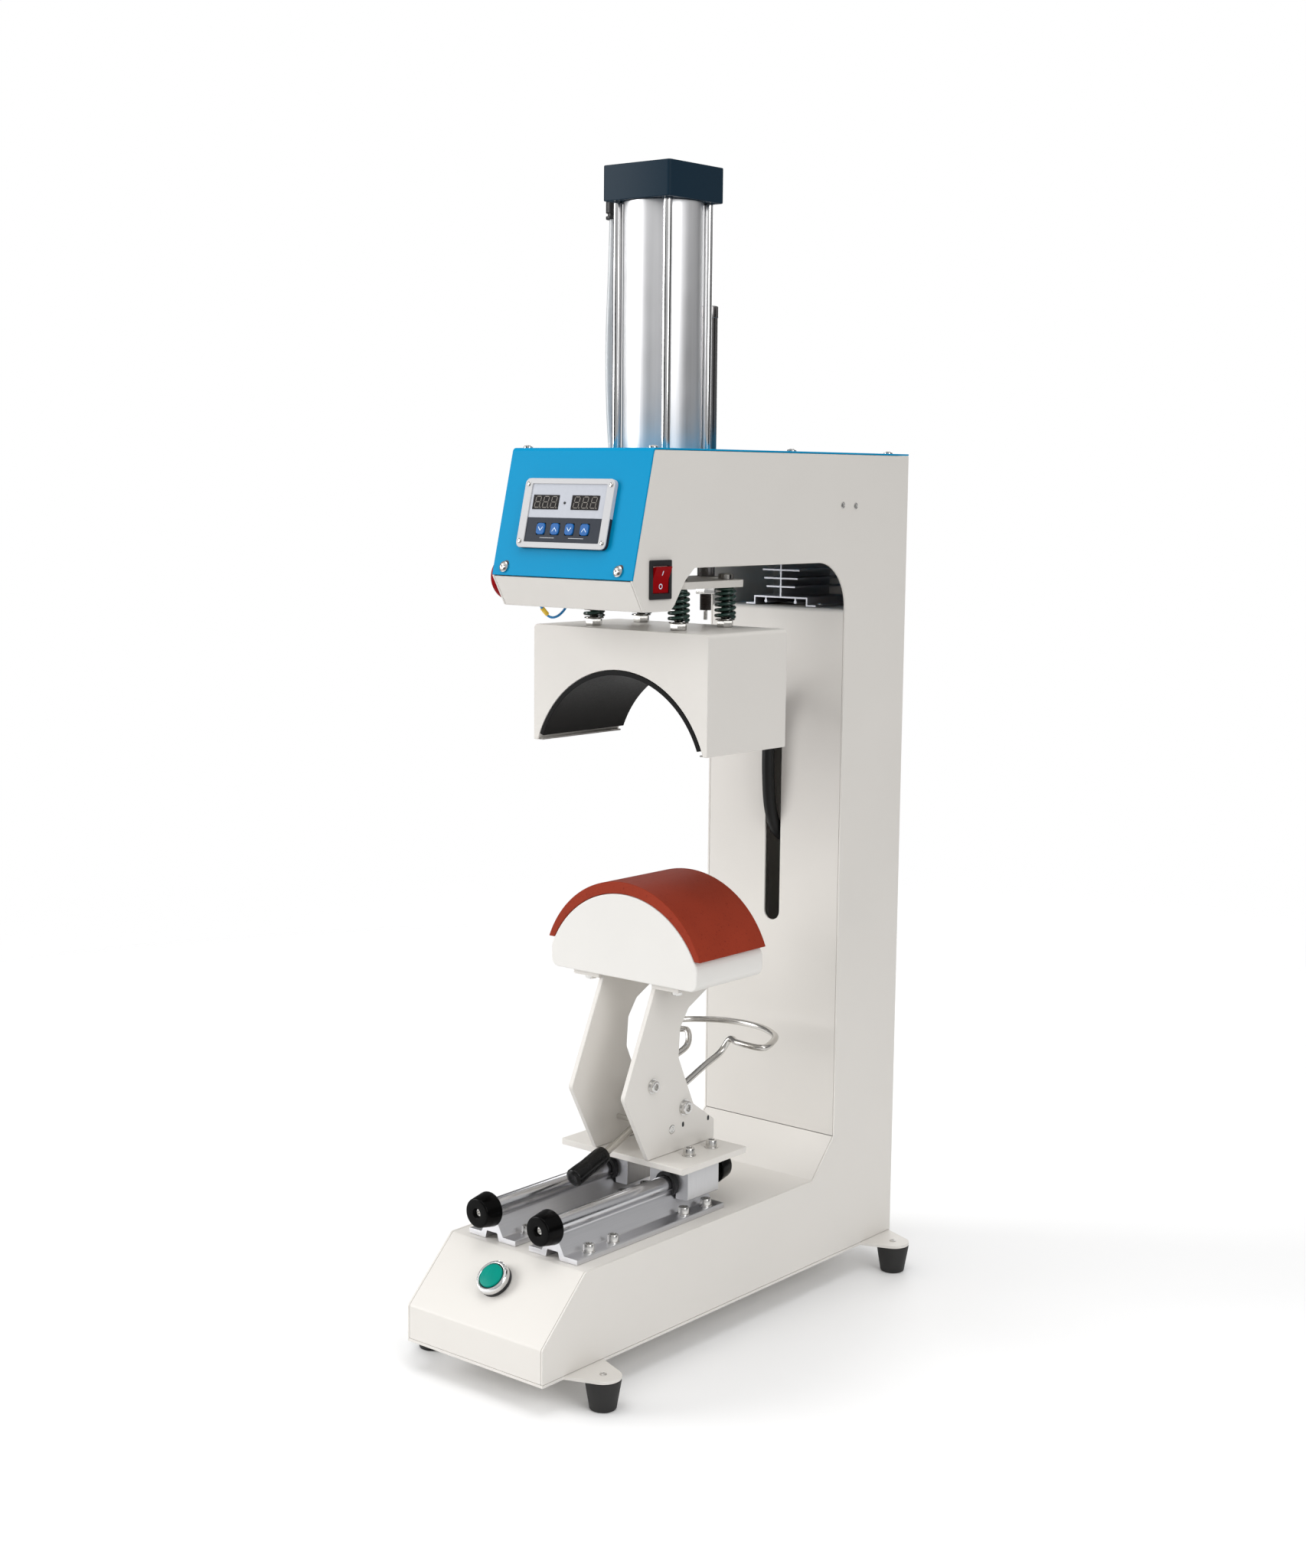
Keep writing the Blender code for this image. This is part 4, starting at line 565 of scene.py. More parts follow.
segment = np.array([(0.06, 0.0), (0.16, 0.5), (0.84, 0.5), (0.94, 0.0), (0.84, -0.5), (0.16, -0.5)])
segment_ends = np.array([((0, 1), (1, 1)), ((0, 0.5), (1, 0.5)), ((0, 0), (1, 0)), ((0, 0.5), (0, 1)),
                         ((1, 0.5), (1, 1)), ((0, 0), (0, 0.5)), ((1, 0), (1, 0.5))]) * digit_size
point_square = 0.0005 * np.array([(-1, -1), (1, -1), (1, 1), (-1, 1)])
digit_parts = []
for left, right in display_sides:
    for place in digit_shares:
        corner = np.array([left + (right - left) * place - digit_size[0] / 2 - 0.0006, digit_foot])
        for first, last in segment_ends:
            way = last - first
            side_way = np.array([-way[1], way[0]]) / np.linalg.norm(way) * digit_line
            bar = corner + first + segment[:, :1] * way + segment[:, 1:] * side_way
            bar[:, 0] += (bar[:, 1] - corner[1]) * digit_lean
            digit_parts.append(on_face(slab(bar, "Z", digit_low, digit_high)))
        point = corner + (digit_size[0] + 0.0013, 0) + point_square
        digit_parts.append(on_face(slab(point, "Z", digit_low, digit_high)))
piece("display_segments", digit_parts, digit_grey, "frame", "panel_plastic")
black_moulding = mottled("black_moulding", (0.014, 0.014, 0.015), (0.026, 0.026, 0.028), 900, 2, 0.32, 0.15,
                         (900, 2, 0.00002), Specular_IOR_Level=0.25)
lamp_corners = [(0, 0.0034, 0), (0.0011, 0.0034, 0), (0.0011, 0.0040, 0.0004), (0, 0.0042, 0)]
piece("pilot_lamp", [turned(lamp_corners, face_spot(-0.0058, 0.0640, 0), face_out, 16)], black_moulding,
      "frame", "black_plastic")
screws("controller_screws",
       [face_spot(across, up, 0.0041) for across in (-0.0500, 0.0440) for up in (0.0300, 0.0800)],
       face_out, 0.0021, 0.0010)
face_screw_acrosses = (-0.0668, 0.0637)
screws("face_screws", [face_spot(across, 0.0074, 0) for across in face_screw_acrosses], face_out, 0.0048,
       0.0028)
# The keyhole slots are drawn as thin black slabs in the face: painted shade in the open slots.
keyhole_corners = np.array([(-0.0012, 0.004, 0.001), (0.0046, 0.004, 0.0024), (0.0046, 0.0132, 0.0024),
                            (-0.0012, 0.0132, 0.0024)])
piece("keyhole_slot_shade", [on_face(slab(eased(keyhole_corners + (across, 0, 0), 4), "Z", -0.0010, 0.00012))
                        for across in face_screw_acrosses], black_moulding, "frame", "blue_paint")

# Keys
# Four soft blue caps that stand a millimetre proud of the panel, each printed with a white chevron
# pointing down or up.
key_blue = mottled("key_blue", (0.001, 0.088, 0.31), (0.002, 0.112, 0.38), 700, 2, 0.30, 0.15,
                   Specular_IOR_Level=0.15)
chevron_white = mottled("chevron_print", (0.62, 0.78, 0.92), (0.70, 0.84, 0.95), 600, 1, 0.5)
chevron = np.array([(-0.0024, 0.0016), (0, -0.0014), (0.0024, 0.0016), (0.0024, 0.0025), (0, -0.0005),
                    (-0.0024, 0.0025)])
key_half, key_low, key_high, key_radius, mark_foot = 0.00475, 0.0362, 0.0462, 0.0028, 0.0412
for key, across, points_up in (("key_menu", -0.0283, False), ("key_left", -0.0120, True),
                               ("key_right", 0.0045, False), ("key_power", 0.0217, True)):
    outline = block_outline(across - key_half, across + key_half, key_low, key_high, key_radius)
    mark = chevron * (1, -1 if points_up else 1) + (across, mark_foot - (0 if points_up else 0.0006))
    piece(f"{key}_cap", [on_face(slab(outline, "Z", 0.0024, 0.0043))], key_blue, f"{key}_body", "key_plastic",
          key, bevel=0.0005)
    piece(f"{key}_mark", [on_face(slab(mark, "Z", 0.0042, 0.00436))], chevron_white, f"{key}_body",
          "key_plastic")

# Power switch
# A snap-in black frame in the right panel, with a glossy red rocker. The on and off marks are printed on the
# rocker's two slopes.
gloss_red = mottled("gloss_red", (0.21, 0.0006, 0.002), (0.28, 0.001, 0.003), 90, 2, 0.20, 0.1,
                    Specular_IOR_Level=0.05)
softened("switch_frame", "rocker_housing", black_moulding, "frame", "black_plastic", 0.0004)
softened("red_rocker", "rocker", gloss_red, "rocker_body", "red_plastic", 0.0004)


def arc(radius, centre, first, last, count):
    """Points of a circle about a centre, from one angle to another, in degrees."""
    turn = np.radians(np.linspace(first, last, count))
    return np.array(centre) + radius * np.stack([np.cos(turn), np.sin(turn)], 1)


mark_low, mark_high = -0.0002, 0.00012
line_mark = slab(block_outline(-0.00042, 0.00042, -0.0021, 0.0021, 0.0002, 2), "Z", mark_low, mark_high)
ring_mark = rim(*(arc(radius, (0, 0), 0, 348.75, 32) for radius in (0.0023, 0.0016)), mark_low, mark_high)
for state, (points, faces), across, up, run, rise in (("on", line_mark, 0.00143, 0.0055, 0.3647, 0.9312),
                                                      ("off", ring_mark, -0.00094, -0.0056, 0.0461, 0.9989)):
    slope = np.array([(0, 1, 0), (run, 0, rise), (rise, 0, -run)])
    piece(f"{state}_mark", [(points @ slope + spot(0.0823 + across, 0.1425, 0.6635 + up), faces)],
          chevron_white, "rocker_body", "red_plastic")

# Emergency stop
# A black collar on the left panel and a red mushroom head with a rolled rim, pushed in along X.
stop_place = spot(-0.0803, 0.1440, 0.6600)
collar_corners = [(0, 0, 0), (0.0150, 0, 0), (0.0150, 0.0060, 0.0008), (0.0085, 0.0060, 0.0003),
                  (0.0085, 0.0010, 0), (0, 0.0010, 0)]
mushroom_corners = [(0, 0.0053, 0), (0.0082, 0.0053, 0), (0.0082, 0.0106, 0), (0.0188, 0.0106, 0.0008),
                    (0.0200, 0.0136, 0.0010), (0.0200, 0.0166, 0.0040), (0.0150, 0.0232, 0.0120),
                    (0, 0.0246, 0)]
piece("stop_collar", [turned(collar_corners, stop_place, (-1, 0, 0), easing=4)], black_moulding, "frame",
      "black_plastic", "estop_base")
piece("stop_mushroom", [turned(mushroom_corners, stop_place, (-1, 0, 0), 64, 8)], gloss_red, "estop_body",
      "red_plastic", "estop_head")

# Start button
# A chromed bezel clamps a black ring in the slope of the base. The green cap slides in the ring.
slope_up = np.array([0, 0.714343, 0.699796])
slope_out = np.array([0, -0.699796, 0.714343])
button_place = spot(-0.0030, 0, 0.030) + slope_up * 0.0445
chrome = bright_metal("chrome_plate", (0.80, 0.80, 0.80), 0.13, depth=0.000002)
green = mottled("green_cap", (0.0, 0.22, 0.17), (0.0005, 0.27, 0.21), 80, 2, 0.22, 0.1,
                Specular_IOR_Level=0.08)
bezel_corners = [(0.0118, 0.0042, 0), (0.0154, 0.0042, 0.0004), (0.0154, 0.0086, 0.0012),
                 (0.0140, 0.0100, 0.0006), (0.0124, 0.0100, 0.0004), (0.0118, 0.0092, 0.0003)]
ring_corners = [(0.0084, 0.0003, 0), (0.0152, 0.0003, 0.0004), (0.0152, 0.0041, 0.0004), (0.0117, 0.0041, 0),
                (0.0117, 0.0093, 0.0002), (0.0113, 0.0093, 0.0002), (0.0113, 0.0036, 0), (0.0084, 0.0036, 0)]
cap_corners = [(0, -0.0165, 0), (0.0080, -0.0165, 0), (0.0080, 0.0078, 0), (0.0110, 0.0078, 0.0003),
               (0.0110, 0.0108, 0.0009), (0, 0.0110, 0)]
piece("button_bezel", [turned(bezel_corners, button_place, slope_out, 72, 4, ring=True)], chrome, "frame",
      "chrome_trim", "start_button_bezel")
piece("button_ring", [turned(ring_corners, button_place, slope_out, 64, ring=True)], black_moulding, "frame",
      "black_plastic")
piece("green_cap_piece", [turned(cap_corners, button_place, slope_out, 64, 5)], green, "start_body",
      "green_plastic", "start_button_cap")

# Cylinder bridge
# A zinc-plated plate that crosses the arm under the cylinder, with the plain bush of the guide rod.
bridge_zinc = bright_metal("zinc_plated_plate", (0.60, 0.59, 0.57), 0.34)
softened("cylinder_bridge", "cylinder_mount_plate", bridge_zinc, "frame", "zinc_steel", 0.0004, 30)

# Air cylinder
# Two navy cast end caps clamp a drawn aluminium tube between them, held by four polished tie rods
# whose socket heads sit in the caps.
navy = powder_coat("navy_cast_paint", (0.009, 0.024, 0.040), 0.44, 0.00006, 0.08)
satin = bright_metal("drawn_aluminium", (0.88, 0.88, 0.89), 0.43, (1, 1, 0.01), 0.00001, 420)
cylinder_back, tie_offset, tie_radius, tie_low, tie_high = 0.240, 0.02825, 0.0040, 0.7003, 1.0155
for end in ("top", "bottom"):
    softened(f"{end}_cap", f"cylinder_{end}_cap", navy, "frame", "navy_cast", 0.0008, 30)
barrel_corners = [(0.0315, 0.7283, 0.0003), (0.0352, 0.7283, 0.0005), (0.0352, 0.9867, 0.0005),
                  (0.0315, 0.9867, 0.0003)]
piece("barrel_tube", [turned(barrel_corners, spot(0, cylinder_back, 0), steps=160, ring=True)], satin,
      "frame", "aluminium_tube", "cylinder_barrel")


def rod(radius, low, high, place, axis=(0, 0, 1), steps=48, ends=(0, 0), easing=3):
    """Turned bar, nut or disc from one height to another along an axis, with its two ends eased."""
    corners = [(0, low, 0), (radius, low, ends[0]), (radius, high, ends[1]), (0, high, 0)]
    return turned(corners, place, axis, steps, easing)


tie_places = [(row, side, cylinder_back + tie_offset * back, tie_offset * across)
              for row, back in (("front", -1), ("rear", 1)) for side, across in (("left", -1), ("right", 1))]
for row, side, back, across in tie_places:
    piece(f"tie_bar_{row}_{side}",
          [rod(tie_radius, tie_low, tie_high, spot(across, back, 0), ends=(0.0005, 0.0005))], chrome, "frame",
          "chrome_rod", f"tie_rod_{row}_{side}")
screws("tie_bar_sockets", [spot(across, back, 1.0153) for _, _, back, across in tie_places], (0, 0, 1),
       0.0039, 0.0014, drive="hex")

# Air fitting
# A black push-in elbow: a hexagon and neck screwed into the top cap, and a grooved collar that grips
# the hose.
hose_across = -0.0571
cap_side, neck_up = -0.0382, 0.9965
elbow_corners = [(0, 0.988, 0), (0.0043, 0.988, 0), (0.0043, 0.976, 0.0003), (0.0072, 0.976, 0.0008),
                 (0.0072, 0.9788, 0.0004), (0.0055, 0.9788, 0.0002), (0.0055, 0.9815, 0.0002),
                 (0.0072, 0.9815, 0.0006), (0.0072, 1.0037, 0.0035), (0, 1.0037, 0)]
neck_place = spot(cap_side, cylinder_back, neck_up)
piece("hose_elbow", [turned(elbow_corners, spot(hose_across, cylinder_back, 0), easing=4),
                     rod(0.0055, 0.002, 0.0189, neck_place, (-1, 0, 0), 32, easing=2),
                     rod(0.0078, 0, 0.0050, neck_place, (-1, 0, 0), 6, (0.0003, 0.0007))],
      black_moulding, "frame", "black_plastic", "air_fitting")

# Air hose
# A soft translucent tube, pushed into the elbow and led down through a hole in the lid.


def flowing(stations, steps=8):
    """Curve through stations: between two of them a cubic whose slopes are half the way from the station
    before to the station after."""
    stations = np.asarray(stations, float)
    padded = np.vstack([2 * stations[0] - stations[1], stations, 2 * stations[-1] - stations[-2]])
    before, start, end, after = (padded[first:len(padded) - 3 + first, None] for first in range(4))
    t = np.linspace(0, 1, steps, endpoint=False)[None, :, None]
    curve = (2 * start + (end - before) * t + (2 * before - 5 * start + 4 * end - after) * t ** 2
             + (3 * start - before - 3 * end + after) * t ** 3) / 2
    return np.vstack([curve.reshape(-1, 3), stations[-1:]])


def bar_along(route, radius, side, steps=24):
    """Round bar on a route: each ring is the route's point plus radius * (side cos a + normal sin a), with
    side squared to the route there. A ring of radius nought closes each end."""
    way = np.gradient(route, axis=0)
    way /= np.linalg.norm(way, axis=1)[:, None]
    side = np.broadcast_to(np.asarray(side, float), way.shape)
    side = side - (side * way).sum(1)[:, None] * way
    side = side / np.linalg.norm(side, axis=1)[:, None]
    normal = np.cross(way, side)
    angle = np.linspace(0, math.tau, steps, endpoint=False)[None, :, None]
    rings = route[:, None] + radius * (np.cos(angle) * side[:, None] + np.sin(angle) * normal[:, None])
    ends = np.ones((1, steps, 1))
    rings = np.concatenate([route[:1, None] * ends, rings, route[-1:, None] * ends])
    return rings.reshape(-1, 3), grid_faces(len(rings), steps)


hose_soft = mottled("hose_plastic", (0.50, 0.52, 0.53), (0.60, 0.62, 0.63), 60, 2, 0.22, 0.10,
                    Coat_Weight=0.2)
hose_foot, hose_fall, hose_low_across, hose_lean, hose_bow = 0.7731, 0.2029, -0.0565, 0.0006, 0.0040
fall_shares = np.array([0.79, 0.54, 0.34, 0.14])
bow_shares = np.array([0.35, 0.92, 1.0, 0.6])
hose_acrosses = np.concatenate([(hose_across, hose_across),
                                hose_low_across - hose_lean * fall_shares - hose_bow * bow_shares,
                                (hose_low_across, hose_low_across)])
hose_ups = np.concatenate([(0.9877, 0.9760), hose_foot + hose_fall * fall_shares, (hose_foot, 0.7581)])
hose_route = flowing(spot(hose_acrosses, cylinder_back, hose_ups))
air_tube = piece("air_tube", [bar_along(hose_route, 0.0040, (0, 1, 0))], hose_soft, "frame", "hose_plastic",
                 "air_hose")

# Controller heatsink
# A short length of extruded aluminium that lies on the post's shelf: a bridge on two legs with small
# bulb-ended lips under it, and a stem with three pairs of fins. Thin coloured wires pass beside it.
raw = bright_metal("extruded_aluminium", (0.74, 0.74, 0.76), 0.33, (1, 0.02, 1), 0.00001, 700)
# The heatsink and its lips take a darker copy of the extruded aluminium: painted shade for the dim inside of
# the arm.
shaded_aluminium = bright_metal("aluminium_painted_shade", (0.40, 0.41, 0.44), 0.48, (1, 0.02, 1), 0.00001, 700)
heatsink_across = -0.002
lip_offset, lip_half, lip_root, lip_foot, bulb_radius = 0.0175, 0.0008, 0.6352, 0.6317, 0.0016
softened("heatsink_section", "heatsink", shaded_aluminium, "frame", "aluminium_raw", 0.00025, 30)
lips = []
for way in (-1, 1):
    lip_across = heatsink_across + way * lip_offset
    bulb = arc(bulb_radius, (lip_across, lip_foot), 60, -240, 16)
    roots = [(lip_across - lip_half, lip_root), (lip_across + lip_half, lip_root)]
    lips.append(set_slab(np.vstack([roots, bulb]), "Y", 0.4250, 0.5050))
piece("heatsink_lips", lips, shaded_aluminium, "frame", "aluminium_raw")
screws("heatsink_screws", spots((heatsink_across - 0.0375, heatsink_across + 0.0375), (0.437, 0.493), 0.6298),
       (0, 0, 1), 0.0028, 0.0018)
wire_steps = np.array([-0.010, 0, 0.004, 0.002, -0.008])
wire_backs = (0.505, 0.480, 0.450, 0.425, 0.405)
wire_ups = np.array([0.636, 0.641, 0.655, 0.676, 0.705])
for colour_name, tint, across, rise in (("yellow", (0.75, 0.42, 0.02), 0.058, 0.0),
                                        ("red", (0.30, 0.02, 0.02), 0.062, -0.006),
                                        ("blue", (0.02, 0.10, 0.30), 0.066, 0.005)):
    darker = tuple(channel * 0.8 for channel in tint)
    wire_skin = mottled(f"{colour_name}_wire_skin", darker, tint, 400, 2, 0.4)
    wire_route = flowing(spot(across + wire_steps, wire_backs, wire_ups + rise))
    piece(f"{colour_name}_wire", [bar_along(wire_route, 0.0011, (1, 0, 0), 12)], wire_skin, "frame",
          "cable_rubber")

# Lamp lead
# A thin blue lead that hangs in a loop under the chin, joined by a yellow crimp sleeve.
lead_blue = mottled("lead_blue", (0.01, 0.20, 0.52), (0.02, 0.27, 0.62), 500, 1, 0.35)
sleeve_yellow = mottled("sleeve_yellow", (0.72, 0.46, 0.02), (0.80, 0.54, 0.04), 400, 1, 0.4)
lead_across = -0.040
lead_route = flowing(spot(lead_across, (0.1200, 0.1278, 0.1367, 0.1470, 0.1577, 0.1640),
                          (0.6440, 0.6352, 0.6275, 0.6270, 0.6334, 0.6440)))
lamp_lead = piece("lamp_lead", [bar_along(lead_route, 0.0011, (1, 0, 0), 12)], lead_blue, "frame",
                  "cable_rubber")
piece("crimp_sleeve", [rod(0.0020, 0, 0.0090, spot(lead_across, 0.1278, 0.6352), (0, 0.76, -0.65), 20,
                           (0.0006, 0.0006))], sleeve_yellow, "frame", "cable_rubber")

# Power inlet
# An insert of black moulding at the back of the base, with three flat plated pins in a shroud. Eight
# screws hold the back sheet itself.
insert_outline = block_outline(-0.0236, 0.0236, 0.0314, 0.0586, 0.002)
shroud_points, shroud_faces = rim(insert_outline, block_outline(-0.0150, 0.0150, 0.0370, 0.0545, 0.004),
                                  0.4985, 0.5170)
piece("inlet_insert", [(shroud_points[:, [0, 2, 1]] + body_place, shroud_faces),
                       set_slab(insert_outline, "Y", 0.4978, 0.5010)], black_moulding, "frame",
      "black_plastic")
pin_half_across, pin_half_up = 0.0010, 0.0020
pin_outline = block_outline(-pin_half_across, pin_half_across, -pin_half_up, pin_half_up, 0.0003, 2)
pin_places = ((0, 0.0488), (-0.007, 0.0428), (0.007, 0.0428))
piece("inlet_pins", [set_slab(pin_outline + place, "Y", 0.5005, 0.5140) for place in pin_places], zinc,
      "frame", "zinc_steel", bevel=0.0003)
screws("back_screws", spots((-0.0700, 0.0700), 0.5178, (0.105, 0.330, 0.560, 0.740)), (0, 1, 0), 0.0034,
       0.0016)

# Rails
# Two hardened 16 mm shafts, ground bright, on extruded aluminium supports whose flanges are bolted down
# with socket screws.
shaft_steel = bright_metal("ground_steel", (0.62, 0.62, 0.64), 0.22, (1, 0.02, 1), 0.000004, 600)
rail_across, rail_up = 0.036, 0.112
rail_sides = (("left", -rail_across), ("right", rail_across))
flange_low, flange_high, washer_high = 0.0832, 0.0879, 0.0889
support_corners = [(0.0062, 0.0902, 0.001), (0.008, flange_low, 0), (0.028, flange_low, 0),
                   (0.028, flange_high, 0.0008), (0.013, flange_high, 0.0015), (0.0045, 0.104, 0.004),
                   (0.0045, rail_up, 0)]
support_corners += [(-x, z, radius) for x, z, radius in reversed(support_corners)]
support_outline = eased(support_corners, 3)
for side, across in rail_sides:
    piece(f"rail_support_{side}", [set_slab(support_outline + (across, 0), "Y", 0.0605, 0.2635)], raw,
          "frame", "aluminium_raw", f"rail_{side}", bevel=0.00012)
    piece(f"rail_shaft_{side}", [rod(0.0080, 0, 0.2195, spot(across, 0.0585, rail_up), (0, 1, 0), 64,
                                     (0.0007, 0.0007))], shaft_steel, "frame", "chrome_rod")
    bolts = spots((across - 0.0205, across + 0.0205), (0.084, 0.116, 0.214, 0.246), 0)
    screws(f"rail_bolts_{side}", bolts + (0, 0, 0.0887), (0, 0, 1), 0.0050, 0.0064, drive="hex")
    piece(f"rail_washers_{side}",
          [rod(0.0060, flange_high, washer_high, place, steps=28, ends=(0.0002, 0.0003), easing=2)
           for place in bolts], zinc, "frame", "zinc_steel")

# Bumpers
# Moulded rubber cones on both ends of each shaft, glossy from the mould, each held by a sunk socket screw.
bumper_skin = mottled("bumper_rubber", (0.001, 0.001, 0.001), (0.003, 0.003, 0.003), 70, 3, 0.16, 0.12,
                      (900, 2, 0.00002), Specular_IOR_Level=0.07)
bumper_corners = [(0, 0, 0), (0.0160, 0, 0.0014), (0.0130, 0.0172, 0.0016), (0.0043, 0.0172, 0.0006),
                  (0.0040, 0.0122, 0), (0, 0.0122, 0)]
for row, back, facing in (("front", 0.0582, -1), ("rear", 0.2783, 1)):
    for side, across in rail_sides:
        piece(f"rubber_bumper_{row}_{side}",
              [turned(bumper_corners, spot(across, back, rail_up), (0, facing, 0), 64, 5)], bumper_skin,
              "frame", "bumper_rubber", f"bumper_{row}_{side}")
    screws(f"bumper_screws_{row}", spots((-rail_across, rail_across), back + facing * 0.0118, rail_up),
           (0, facing, 0), 0.0037, 0.0026, drive="hex")

# Carriage blocks
# Open linear bearings in machined aluminium blocks, closed at each end by a black seal, and four socket
# screws that hold the stand's plate on them.
milled = bright_metal("milled_aluminium", (0.66, 0.66, 0.67), 0.38, (1, 1, 0.1), 0.00001, 500)
block_half, block_foot, block_top = 0.0225, 0.0990, 0.1319
block_front, block_rear, seal_thick = 0.2175, 0.2625, 0.0050
bore = arc(0.0083, (0, rail_up), 180, 0, 33)
block_walls = eased([(0.0083, block_foot, 0), (block_half, block_foot, 0.0015),
                     (block_half, block_top, 0.0015), (-block_half, block_top, 0.0015),
                     (-block_half, block_foot, 0.0015), (-0.0083, block_foot, 0)], 3, False)
block_section = np.vstack([block_walls, bore])
seal_section = np.vstack([arc(0.0120, (0, rail_up), -46.2, 226.2, 49), bore])
for side, across in rail_sides:
    piece(f"bearing_block_{side}", [set_slab(block_section + (across, 0), "Y", block_front, block_rear)],
          milled, "stand", "aluminium_block", f"carriage_block_{side}", bevel=0.0004)
    piece(f"bearing_seals_{side}", [set_slab(seal_section + (across, 0), "Y", low, low + seal_thick)
                                    for low in (block_front - seal_thick, block_rear)], black_moulding,
          "stand", "black_plastic", bevel=0.0003)

# Stand
# A cream plate bolted across the blocks, and two waisted cream uprights welded to it, each with a flange
# turned outward under the platen. The lever's shaft is screwed between the uprights.
plate_top = 0.1380
piece("stand_plate", [set_slab(block_outline(-0.073, 0.073, 0.192, 0.286, 0.002), "Z", 0.1322, plate_top)],
      cream, "stand", "cream_paint", "stand_base_plate", bevel=0.0006)
for side in ("left", "right"):
    softened(f"upright_{side}", f"stand_side_plate_{side}", cream, "stand", "cream_paint", 0.0006, 50)
plate_bolts = spots((-0.050, 0.050), (0.229, 0.262), 0)
piece("stand_washers", [rod(0.0064, plate_top, 0.1391, place, steps=32, ends=(0.0002, 0.0003), easing=2)
                        for place in plate_bolts], zinc, "stand", "zinc_steel")
screws("stand_bolts", plate_bolts + (0, 0, 0.1388), (0, 0, 1), 0.0052, 0.0066, "stand", "hex")
side_washer = eased([(0, 0, 0), (1, 0, 0.05), (1, 0.0010, 0.0003), (0, 0.0010, 0)], 2, False)
side_screws = [(0.196, 0.2065, 0.0068, 0.0054, 0.0038), (0.242, 0.1772, 0.0076, 0.0062, 0.0042)]
hole_corners = np.array([(-0.0015, -0.0024, 0.0014), (0.0015, -0.0024, 0.0014), (0.0015, 0.0024, 0.0014),
                         (-0.0015, 0.0024, 0.0014)])
for side, way in (("left", -1), ("right", 1)):
    piece(f"upright_washers_{side}",
          [lathe(side_washer * (washer, 1), spot(way * 0.0335, back, up), (way, 0, 0), 32)
           for back, up, washer, _, _ in side_screws], zinc, "stand", "zinc_steel")
    side_heads = [screw_head(spot(way * 0.0344, back, up), (way, 0, 0), head, height, "hex")
                  for back, up, _, head, height in side_screws]
    side_heads.append(screw_head(spot(way * 0.0333, 0.2242, 0.1602), (way, 0, 0), 0.0042, 0.0010, "hex"))
    piece(f"upright_screws_{side}", side_heads, zinc, "stand", "zinc_steel")
    # Black slabs on each upright's outer face are painted shade in its open holes.
    hole_sides = sorted((way * 0.0330, way * 0.03358))
    piece(f"upright_hole_shade_{side}",
          [set_slab(eased(hole_corners + (back, up, 0), 4), "X", *hole_sides)
           for back, up in ((0.2404, 0.1614), (0.2775, 0.1594))], black_moulding, "stand", "cream_paint")
screws("platen_bolts", spots((-0.051, 0.051), (0.208, 0.272), 0.2962), (0, 0, -1), 0.0052, 0.0050, "stand",
       "hex")
piece("stop_pin", [rod(0.0024, 0, 0.0180, spot(-0.0283, 0.2210, 0.1615), (1, 0, 0), 24, (0, 0.0006))], zinc,
      "stand", "zinc_steel")

# Lower platen
# A half-round aluminium block in warm white enamel, its sharp edges filed before painting.
enamel = powder_coat("platen_enamel", (0.74, 0.725, 0.695), 0.36, 0.00003)
platen_front, platen_rear, platen_centre = 0.192, 0.288, 0.2849
platen_half, platen_low, platen_shoulder = 0.086, 0.3005, 0.3203
platen_foot = eased([(-platen_half, platen_shoulder, 0), (-platen_half, platen_low, 0.008),
                     (platen_half, platen_low, 0.008), (platen_half, platen_shoulder, 0)], 8, False)
platen_section = np.vstack([platen_foot[1:-1], arc(0.093024, (0, platen_centre), 22.4, 157.6, 97)])
piece("platen_block", [set_slab(platen_section, "Y", platen_front, platen_rear)], enamel, "stand",
      "platen_paint", "lower_platen", bevel=0.0013, crisp=45)

# Silicone pad
# A rust-red silicone rubber sheet, cut from foam with an open skin, thickest on the crown of the platen.
silicone = new_finish("silicone_red", Specular_IOR_Level=0.08)
pad_clouds = silicone.noise(28, 4)
pores = silicone.noise(520, 2).above(0.66)
pad_skin = silicone.mix((0.24, 0.030, 0.013), (0.32, 0.042, 0.019), pad_clouds)
# The pores are also given a darker tone: painted shade in their hollows, beside their sunk relief.
silicone.set(Base_Color=silicone.mix(pad_skin, (0.16, 0.018, 0.010), pores * 0.55),
             Roughness=pad_clouds * 0.12 + 0.58)
silicone.relief(silicone.noise(700, 3) - pores * 0.4, 0.00012)
pad_section = np.vstack([arc(0.0960, (0, 0.2930), 21.39, 158.61, 97),
                         arc(0.0933, (0, platen_centre), 152.5, 27.5, 97)])
piece("silicone_sheet", [set_slab(pad_section, "Y", platen_front, platen_rear)], silicone, "stand",
      "silicone_red", "silicone_pad", bevel=0.0007, crisp=45)

